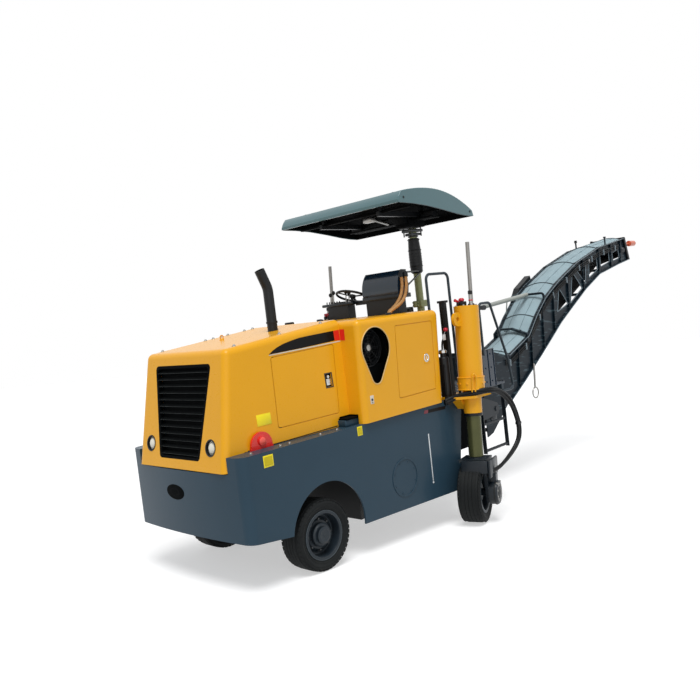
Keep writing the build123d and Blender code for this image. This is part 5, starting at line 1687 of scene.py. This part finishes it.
@dataclass
class Station(Assembly):
    """Seat, console, deck and what stands by them.

    Attributes:
        deck_z: Top of the deck.
    """

    deck_z: float = 1162.0

    def build(self) -> None:
        """Make every piece."""
        self.seat()
        self.console()
        self.hoses()
        self.levers()
        self.deck()
        self.post()
        self.tower()
        self.guards()

    def seat(self) -> None:
        """Seat shell, slides and two cushions in place of the plain seat."""
        shell = Mould()
        shell.block((-1840, -410, 1162), (-1560, -40, 1182), 4)
        shell.block((-1755, -280, 1182), (-1645, -170, 1500), 8)
        shell.lathe([(55, 0), (85, 10), (100, 50), (85, 90), (100, 130), (85, 170), (100, 210), (85, 250), (100, 290),
            (55, 310)], move(-1700, -225, 1185), 32)
        for y in (-400, -74):
            shell.block((-1880, y, 1530), (-1510, y + 24, 1556), 4)
        shell.block((-1880, -440, 1556), (-1500, -10, 1580), 10)
        shell.plate([(-1960, -430, 1570), (-1960, -20, 1570), (-1960, -40, 2110), (-1960, -410, 2110)], (22, 0, 0), 8)
        shell.hose(((-1700, 2, 1560), (-1640, 10, 1575), (-1600, 12, 1640), (-1590, 12, 1680)), 6)
        frame = self.issue("seat_shell", shell, PLASTIC)
        pad = Cushion(self.shop, "seat_cushion", (0.392, 0.44, 0.088), move(-1690, -225, 1622), 3).build()
        lean = move(-1911, -225, 1870) @ Matrix.Rotation(math.radians(90), 4, "Y")
        back = Cushion(self.shop, "back_cushion", (0.50, 0.41, 0.072), lean, 4).build()
        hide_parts("operator_seat")
        for piece in (frame, back):
            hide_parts("operator_seat")

    def console(self) -> None:
        """Tray lip, gauges, hinge, handle and side plate of the control box."""
        lip = self.mould("console_lip", DARK_SLATE)
        trim = self.mould("console_trim", BLACK)
        dials = self.mould("console_dials", PLASTIC)
        faces = self.mould("dial_faces", MARK_WHITE)
        plate = self.mould("console_side_plate", BLACK)
        lip.block((-1302, -24, 2222), (-1102, 488, 2266), 6)
        lip.block((-1284, -630, 2212), (-1076, -149, 2243), 8)
        trim.rod((-1108, -10, 2268), (-1108, 480, 2268), 6, rim=1)
        for y in (30, 440):
            trim.block((-1112, y - 22, 2263), (-1098, y + 22, 2276), 2)
        for y in (-560, -480, -400):
            dials.lathe([(0, 12), (26, 12), (30, 16), (34, 14), (34, 0), (0, 0)], move(-1225, y, 2242), 28)
            faces.lathe([(0, 13.5), (25, 13), (0, 12.8)], move(-1225, y, 2242), 28)
        for index in range(6):
            dials.rod((-1130, -600 + index * 40, 2242), (-1134, -600 + index * 40, 2268), 6)
        plate.plate(wall(((-1118, 2252), (-1140, 2400), (-1128, 2470), (-1170, 2512), (-1250, 2508), (-1268, 2340),
            (-1252, 2252)), 488), (0, 10, 0), 3)
        for x, z, size in ((-1214, 2448, 34), (-1220, 2362, 26)):
            plate.lathe([(0, 22), (size * 0.8, 22), (size, 16), (size, 0), (0, 0)], facing((x, 498, z)), 28)
        edge = self.mould("lid_edge", BLACK, body="console_lid")
        edge.hose(((-1240, -20, 2500), (-1240, 240, 2500), (-1240, 484, 2500)), 5)
        edge.hose([(-1237, y, z) for y, z in ((484, 2266), (486, 2380), (484, 2500))], 4)

    def hoses(self) -> None:
        """Two ribbed tan hoses from the control box into the rear box."""
        sleeve = self.mould("console_hoses", TAN)
        for y, shift in ((512, 0), (548, 26)):
            route = [(-1152 - shift, y, 2446), (-1150 - shift, y, 2390), (-1142 - shift, y, 2320),
                (-1104 - shift, y + 2, 2236), (-1030 - shift, y + 4, 2168), (-945 + shift, y + 8, 2118),
                (-884 + shift, y + 10, 2098), (-866 + shift, y + 10, 2056)]
            sleeve.hose(route, 15)
            self.ribs(sleeve, route)
        ends = self.mould("hose_ends", PLASTIC)
        for y, shift in ((512, 0), (548, 26)):
            ends.rod((-866 + shift, y + 10, 2088), (-866 + shift, y + 10, 2062), 21, tip=26, rim=3)
            ends.rod((-1152 - shift, y, 2430), (-1152 - shift, y, 2482), 24, tip=19, rim=3)

    def ribs(self, mould: Mould, route: list[Point]) -> None:
        """Ribs along a hose.

        Args:
            mould: Where they go.
            route: The hose's control points.
        """
        mesh = smooth_line(route)
        line = [v.co.copy() for v in mesh.vertices]
        bpy.data.meshes.remove(mesh)
        gap, walked = 14, 0
        for start, end in zip(line, line[1:]):
            walked += (end - start).length
            if walked >= gap:
                walked = 0
                mould.ring(15, 3.2, facing(end, end - start), 16, 6)

    def levers(self) -> None:
        """Levers with round knobs, and the stays from the control box to the post."""
        sticks = self.mould("control_levers", STEEL)
        knobs = self.mould("lever_knobs", PLASTIC)
        stays = self.mould("post_stays", BLACK)
        for y, z in ((-590, 2330), (-540, 2352), (-345, 2346), (-300, 2330)):
            sticks.rod((-1180, y, 2240), (-1192, y, z), 6, 12)
            knobs.ball((-1192, y, z + 14), 21, (1, 1, 1.15))
        for start, end in (((-1240, 493, 2478), (-1722, 306, 2494)), ((-1254, 493, 2340), (-1722, 306, 2478))):
            stays.rod(start, end, 9, 12)
        stays.ring(46, 9, move(-1710, 270, 2476), 32, 8)

    def deck(self) -> None:
        """Raised bars of the tread plate on the deck, and the deck's rim."""
        bars = self.mould("tread_bars", DARK_SLATE, smooth=80)
        rim = self.mould("deck_rim", DARK_SLATE)
        row = 0
        x = -2390
        while x < -1230:
            y = -740 + 24 * (row % 2)
            reach = 680 if x > -1745 else 770
            while y < reach:
                if abs(y) < reach - 14:
                    spot = move(x, y, self.deck_z) @ Matrix.Rotation(math.radians(45 if (row % 2) else -45), 4, "Z")
                    bars.rod((-14, 0, 0), (14, 0, 0), 4.2, 4, place=spot)
                y += 48
            x += 24
            row += 1
        rim.hose([(-2416, y, self.deck_z + 4) for y in (-770, 0, 770)], 7)

    def post(self) -> None:
        """Clamps of the post, bands of its boot and the clamp block at its foot."""
        clamps = self.mould("post_clamp", POST)
        bands = self.mould("boot_bands", PLASTIC, slot="boot_rubber")
        straps = self.mould("post_head", DARK_STEEL)
        clamps.block((-1770, 212, 2100), (-1650, 328, 2172), 8)
        clamps.block((-1648, 250, 2106), (-1600, 290, 2166), 6)
        for z in (2118, 2154):
            clamps.rod((-1626, 232, z), (-1626, 308, z), 10, 6)
        for z in (2492, 2546, 2720, 2836):
            radius = 72.5 if 2500 < z < 2800 else 66
            bands.ring(radius - 2, 4.5, move(-1710, 270, z), 40, 8)
        for z in (2590, 2620, 2650, 2680):
            bands.ring(70.5, 2.8, move(-1710, 270, z), 40, 8)
        straps.ring(50, 7, move(-1710, 270, 2870), 40, 8)
        straps.block((-1780, 216, 2880), (-1640, 324, 2908), 6)
        straps.block((-1800, 196, 2918), (-1610, 344, 2948), 6)
        for x, y in ((-1784, 214), (-1784, 326), (-1628, 214), (-1628, 326)):
            straps.rod((x, y, 2872), (x, y, 2968), 8, 6)

    def tower(self) -> None:
        """Knob, tag, silver cap and hose of the filter behind the rear box, on both sides."""
        red, tag, cap, hose = Mould(), Mould(), Mould(), Mould()
        red.ball((-1398, 806, 1846), 24, (1, 1, 0.85))
        red.rod((-1398, 806, 1846), (-1422, 790, 1846), 10)
        tag.block((-1386, 804, 1742), (-1340, 808, 1800), 1)
        tag.rod((-1364, 806, 1800), (-1396, 806, 1836), 2, 6)
        cap.lathe([(0, 16), (36, 14), (45, 6), (45, -18), (0, -18)], move(-1354, 772, 1632), 32)
        hose.hose(((-1354, 772, 1646), (-1354, 774, 1720), (-1390, 786, 1770), (-1398, 800, 1840), (-1404, 800, 1960),
            (-1404, 796, 2118)), 10)
        hose.hose(((-1300, 800, 1176), (-1296, 806, 1260), (-1300, 806, 1420), (-1320, 800, 1520),
            (-1340, 790, 1560)), 11)
        for mould, name, finish in ((red, "tower_knob", RED_KNOB), (tag, "tower_tag", MARK_WHITE),
                (cap, "filter_cap", CHROME), (hose, "filter_hose", HOSE)):
            mould.mirror()
            self.issue(name, mould, finish)

    def guards(self) -> None:
        """Rounded edge and bolts of the side guards behind the columns."""
        edge = self.mould("guard_edges", NAVY, True)
        for x in (-2246, -2140, -2024):
            edge.rod((x, 784, 1145), (x, 784, 1552), 5, 10)
        edge.rod((-2250, 784, 1552), (-2020, 784, 1552), 5, 10)
        for z in (1200, 1350, 1500):
            for x in (-2190, -2080):
                edge.rod((x, 778, z), (x, 788, z), 9, 6)


# ---- canopy
@dataclass
class Canopy(Assembly):
    """Dark lining, bracket arms and small fittings of the canopy. The lining under the crown is partly a dark liner
    and partly painted shade, and its plates inside the rims are painted shade.

    Attributes:
        crown: (x, z) points of the crown's inner side.
        foot: (x, z) points of the rim's lower edge.
    """

    crown: tuple = ((-832, 3138), (-862, 3192), (-885, 3221), (-990, 3243), (-1100, 3251), (-1310, 3259),
        (-1520, 3236), (-1718, 3191), (-1870, 3135), (-1998, 3062))
    foot: tuple = ((-2022, 3004), (-1880, 3012), (-1720, 3032), (-1500, 3068), (-1240, 3104), (-1020, 3121),
        (-832, 3126))

    def build(self) -> None:
        """Make every piece."""
        lining = self.mould("canopy_lining_shade", LINING_SHADE, smooth=30)
        under = [(x, z - 5) for x, z in reversed(self.crown)]
        lining.plate(wall(list(self.crown) + under, -844), (0, 1688, 0))
        # Plates on the rims' inner faces: painted shade under the canopy.
        for low in (-846.5, 844):
            lining.plate(wall(list(self.crown) + list(self.foot), low), (0, 2.5, 0))
        lining.plate(wall(((-833, 3126), (-836, 3126), (-836, 3150), (-833, 3150)), -844), (0, 1688, 0))
        lining.plate(wall(((-2003.6, 3058), (-2003.6, 3003), (-2000.5, 3003), (-2000.5, 3062)), -844), (0, 1688, 0))
        lining.plate(wall(((-2031, 2999.2), (-2001, 3000.8), (-2001, 3003.4), (-2031, 3001.4)), -852), (0, 1704, 0))
        arms = self.mould("canopy_arms", LINING_SHADE)
        arms.block((-1830, 176, 2968), (-1540, 364, 3052), 10)
        arms.plate(wall(((-1600, 3050), (-1400, 3105), (-1400, 3078), (-1560, 2985)), 190), (0, 160, 0), 6)
        arms.block((-1800, -600, 3030), (-1620, 600, 3048), 6)
        for x in (-1060, -1700):
            arms.block((x - 26, -790, 3092), (x + 26, 790, 3116), 6)
        light = self.mould("work_light", STEEL)
        light.rod((-1560, 60, 3040), (-1180, 140, 3086), 14)
        light.block((-1200, 90, 3040), (-1120, 210, 3092), 12)
        studs = self.mould("canopy_studs", PLASTIC)
        for x, z in ((-1010, 3246), (-1560, 3236)):
            for y in (-640, 640):
                studs.lathe([(0, 18), (10, 16), (13, 6), (24, 3), (24, -3), (0, -3)], move(x, y, z), 16)
        for x, z in ((-1975, 3046), (-900, 3170)):
            studs.rod((x, 855, z), (x, 861, z), 11, 12)
            studs.rod((x, -861, z), (x, -855, z), 11, 12)
        lip = self.mould("canopy_lip", LIP_PALE, True, smooth=60)
        for (x0, z0), (x1, z1) in zip(self.foot, self.foot[1:]):
            lip.rod((x0, 852, z0 - 3), (x1, 852, z1 - 3), 4.5, 8)


# ---- conveyor
@dataclass
class Conveyor(Assembly):
    """Cover, trims, hoses and small fittings of the conveyor.

    Attributes:
        top: (x, z) points of the upper chord, from the middle of the machine to the head.
        low: (x, z) points of the lower chord.
        half: Outside of the side plates.
        rise: How far the cover arches up.
        windows: (x, z) corners of the side plates' windows.
    """

    top: tuple = ((-3070, 1431), (-3381, 1347), (-3900, 1545), (-4150, 1790), (-4417, 2005), (-4815, 2211),
        (-5404, 2450), (-6174, 2660), (-7090, 2784))
    low: tuple = ((-3000, 560), (-3323, 773), (-3743, 1004), (-4211, 1280), (-4790, 1638), (-5177, 1834),
        (-5622, 2055), (-6122, 2254), (-6792, 2376), (-7240, 2445))
    half: float = 240.0
    rise: float = 52.0
    windows: tuple = (((-4760, 1790), (-4860, 2120), (-5080, 1880)), ((-5163, 1884), (-5295, 2325), (-5560, 2075)),
        ((-5405, 2365), (-5735, 2470), (-5680, 2135)), ((-5850, 2505), (-6110, 2575), (-6110, 2325), (-5810, 2215)),
        ((-6230, 2600), (-6540, 2645), (-6540, 2430), (-6230, 2365)), ((-6660, 2560), (-6890, 2620), (-6910, 2480),
        (-6680, 2440)))

    def issue(self, name: str, mould: Mould, finish: Finish, body: str = "conveyor", **more: object) -> Piece:
        """File a piece, on the boom unless told otherwise."""
        return self.shop.issue(name, mould, finish, body, **more)

    def level(self, line: tuple, x: float) -> float:
        """Height of a chord at a place.

        Args:
            line: The chord's (x, z) points.
            x: Along the machine.

        Returns:
            The height.
        """
        for (x0, z0), (x1, z1) in zip(line, line[1:]):
            if x1 <= x <= x0:
                return z0 + (z1 - z0) * (x0 - x) / (x0 - x1)
        return line[0][1] if x > line[0][0] else line[-1][1]

    def build(self) -> None:
        """Make every piece."""
        self.canvas()
        self.straps()
        self.flange()
        self.chords()
        self.truss()
        self.head()
        self.lines()
        self.foot_plates()

    def canvas(self) -> None:
        """The canvas over the belt: one arched sheet with sag, creases and a stitched hem."""
        work = bmesh.new()
        steps, across = 150, 22
        bmesh.ops.create_grid(work, x_segments=steps, y_segments=across, size=0.5)
        first, last = self.top[0][0] - 2, self.top[-1][0] + 2
        half = self.half - 14.5
        for vertex in work.verts:
            along, wide = vertex.co.x + 0.5, vertex.co.y * 2
            x = first + (last - first) * along
            sag = 5 * (1 - wide * wide) * math.sin(along * 47) ** 2
            crease = 2.2 * math.sin(along * 150 + 5 * wide) * math.sin(along * 31 + 2) * (0.35 + wide * wide)
            z = self.level(self.top, x) - 14 + (self.rise + 2) * (1 - wide * wide) - sag + crease
            vertex.co = at(x, half * wide, z)
        bmesh.ops.smooth_vert(work, verts=work.verts, factor=0.35, use_axis_x=False, use_axis_y=False,
            use_axis_z=True)
        area = sum(face.calc_area() for face in work.faces)
        bmesh.ops.transform(work, matrix=self.shop.stance.matrix, verts=work.verts)
        bmesh.ops.recalc_face_normals(work, faces=work.faces)
        bmesh.ops.solidify(work, geom=work.faces[:], thickness=0.0025)
        mesh = bpy.data.meshes.new("belt_canvas")
        work.to_mesh(mesh)
        work.free()
        mesh.shade_smooth()
        piece = self.shop.file(add("belt_canvas", mesh), CANVAS, "conveyor")
        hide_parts("conveyor_cover")
        hems = Mould()
        for side in (1, -1):
            run = [(x, side * (half - 6), self.level(self.top, x) - 8) for x in range(-3080, -7090, -60)]
            hems.hose(run, 4.5)
        for wide in (-0.42, 0.42):
            run = [(x, half * wide, self.level(self.top, x) - 14 + (self.rise + 1) * (1 - wide * wide))
                for x in range(-3080, -7090, -60)]
            hems.hose(run, 2.2)
        hem = self.issue("canvas_hems", hems, CANVAS_DARK)

    def arch(self, x: float, lift: float, spread: float = 0.0) -> list[Point]:
        """Points over the canvas from side to side.

        Args:
            x: Along the machine.
            lift: Distance over the canvas.
            spread: How far past the canvas it reaches.

        Returns:
            The points.
        """
        half = self.half - 14.5 + spread
        level = self.level(self.top, x)
        return [(x, half * w, level - 12 + self.rise * (1 - w * w) + lift) for w in (-1, -0.85, -0.6, -0.3, 0, 0.3,
            0.6, 0.85, 1)]

    def straps(self) -> None:
        """Dark hoop strips across the canvas, with a buckle at each end."""
        strips = self.mould("cover_straps", STRAP)
        buckles = self.mould("cover_buckles", DARK_STEEL)
        for x in (-3440, -4140, -4760, -5404, -6174, -7060):
            strips.hose(self.arch(x, 2, 6), 6.5, sides=1)
            for side in (1, -1):
                z = self.level(self.top, x)
                buckles.block((x - 16, side * 228, z - 6), (x + 16, side * 266, z + 7), 3)

    def flange(self) -> None:
        """Round studs along both top flanges."""
        studs = self.mould("flange_studs", EDGE_GREY, True)
        for x in range(-3440, -7080, -92):
            z = self.level(self.top, x)
            spot = move(x, 257, z + 0.5)
            studs.lathe([(0, 9), (7, 7), (10, 2), (10, -1)], spot, 8)

    def chords(self) -> None:
        """Pale rods along the chords of both side plates: painted highlights on their edges."""
        edge = self.mould("chord_highlights", EDGE_SLATE, True, smooth=60)
        for line in (self.top[1:], self.low[1:]):
            for (x0, z0), (x1, z1) in zip(line, line[1:]):
                edge.rod((x0, 271, z0), (x1, 271, z1), 4.2, 8)

    def truss(self) -> None:
        """Pale rods round the windows, painted highlights on their edges, and the stiffeners between the chords."""
        glint_rods = self.mould("window_highlights", EDGE_SLATE, True, smooth=60)
        ribs = self.mould("boom_ribs", BOOM_SLATE, True)
        for window in self.windows:
            for (x0, z0), (x1, z1) in zip(window, window[1:] + window[:1]):
                glint_rods.rod((x0, 241, z0), (x1, 241, z1), 5.5, 8)
        for x in (-3620, -3980, -4330, -4660, -5120, -5620, -6170, -6600, -6960):
            high = self.level(self.top, x) - 14
            foot_x = x + 40
            low = self.level(self.low, foot_x) + 14
            ribs.plate(wall(((x - 5, high), (x + 5, high), (foot_x + 5, low), (foot_x - 5, low)), 240), (0, 26, 0), 2)
        for x in range(-3300, -7050, -118):
            upper, lower = self.level(self.top, x), self.level(self.low, x)
            for z in (upper * 0.93 + lower * 0.07 - 6, lower + 34):
                ribs.rod((x, 239, z), (x, 245, z), 9, 6)

    def head(self) -> None:
        """Dark end frame at the head, the scraper under the drum and the bearing plates."""
        frame = self.mould("head_frame", BLACK)
        plates = self.mould("bearing_plates", DARK_STEEL, True)
        frame.plate(wall(((-7075, 2806), (-7130, 2806), (-7238, 2452), (-7180, 2452)), 241), (0, 32, 0), 4)
        frame.mirror()
        frame.block((-7128, -272, 2776), (-7084, 272, 2806), 6)
        for x, z in ((-6450, 2822), (-7000, 2800)):
            frame.rod((x, -242, z - 30), (x, -242, z + 10), 24, tip=20, rim=3)
        for x, z, size in ((-7064, 2604, 62), (-2925, 645, 62)):
            plates.block((x - size, 240, z - size * 0.7), (x + size, 249, z + size * 0.7), 4)
            plates.lathe([(0, 20), (20, 20), (34, 12), (40, 0), (0, 0)], facing((x, 249, z)), 28)
            for dx in (-44, 44):
                plates.rod((x + dx, 249, z), (x + dx, 258, z), 10, 6)

    def lines(self) -> None:
        """Hoses and their clips along the left side plate."""
        run = self.mould("boom_hoses", HOSE)
        clips = self.mould("hose_clips", EDGE_SLATE, slot="grey_steel")
        for drop, radius in ((74, 10), (104, 8), (128, 7)):
            route = [(x, 252 + (x % 3), self.level(self.top, x) - drop + 6 * math.sin(x / 130))
                for x in range(-3300, -6960, -90)]
            run.hose(route, radius)
        for x in range(-3400, -6950, -420):
            z = self.level(self.top, x)
            clips.block((x - 12, 240, z - 146), (x + 12, 266, z - 58), 4)
        slots = self.mould("bracket_slots", EDGE_GREY)
        for y in (-120, 60):
            slots.block((-3917, y, 1618), (-3914.6, y + 90, 1630), 1)

    def foot_plates(self) -> None:
        """Grip strips on the ladder and the cap of the hose arm."""
        grips = self.mould("ladder_grips", DARK_SLATE, body="chassis")
        for z in (750, 460):
            for x in range(-1966, -2360, -28):
                grips.rod((x, 745, z), (x, 771, z), 14.5, 8)
        tip = self.mould("arm_tip", BLACK)
        tip.block((-3304, -33, 1960), (-3186, 33, 2016), 6)
        tip.rod((-3330, 0, 1986), (-3290, 0, 1989), 34)


DRESS = {
    SLATE: "lower_body", SHADOW: "main_frame grille headlights",
    BLACK: "drum_housing oil_cooler exhaust_stack front_axle console canopy_frame side_box",
    DARK_STEEL: "milling_drum engine_block belt_drums", ORANGE: "engine_hood rear_box",
    NAVY: "operator_deck console_cover", PLASTIC: "steering_wheel operator_seat post_boot", POST: "canopy_post",
    CANOPY: "canopy", RAIL_SLATE: "handrails", DARK_SLATE: "ladder conveyor_yoke", BOOM_SLATE: "conveyor_boom",
    ARM_GREY: "boom_stay", BELT: "conveyor_belt", CANVAS: "conveyor_cover", BEACON: "beacon", ROD: "height_rods",
    STEEL: "tow_hook",
}
PAIRED = {
    ORANGE: "engine_door tank_door leg_column", BLACK: "front_knuckle filter_tower", RUBBER: "front_tyre rear_tyre",
    HUB_SLATE: "front_rim rear_rim", OLIVE: "leg_tube", DARK_SLATE: "rear_fork", LUG_RED: "tie_lug",
}


def dress(node: Piece, finish: Finish) -> None:
    """Give a node one finish."""
    node.data.materials.clear()
    node.data.materials.append(finish.material())


def main() -> None:
    """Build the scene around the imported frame."""
    logging.basicConfig(level=logging.INFO)
    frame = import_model()
    stance = Stance()
    Viewpoint().build(stance)
    Studio().build()
    for table, sides in ((DRESS, ("",)), (PAIRED, ("_left", "_right"))):
        for finish, names in table.items():
            for name in names.split():
                for side in sides:
                    dress(frame["nodes"][name + side], finish)
    shop = Workshop(stance)
    hood = Hood(shop)
    for part in (hood, Latches(shop, hood), Shell(shop), Station(shop), Canopy(shop), Conveyor(shop)):
        part.make()
    for side, name in ((1, "left"), (-1, "right")):
        Leg(shop, side).make()
        Wheel(shop, f"front_tyre_{name}", f"front_wheel_{name}", side).make()
        Wheel(shop, f"rear_tyre_{name}", f"rear_wheel_{name}", side, 21).make()


if __name__ == "__main__":
    main()
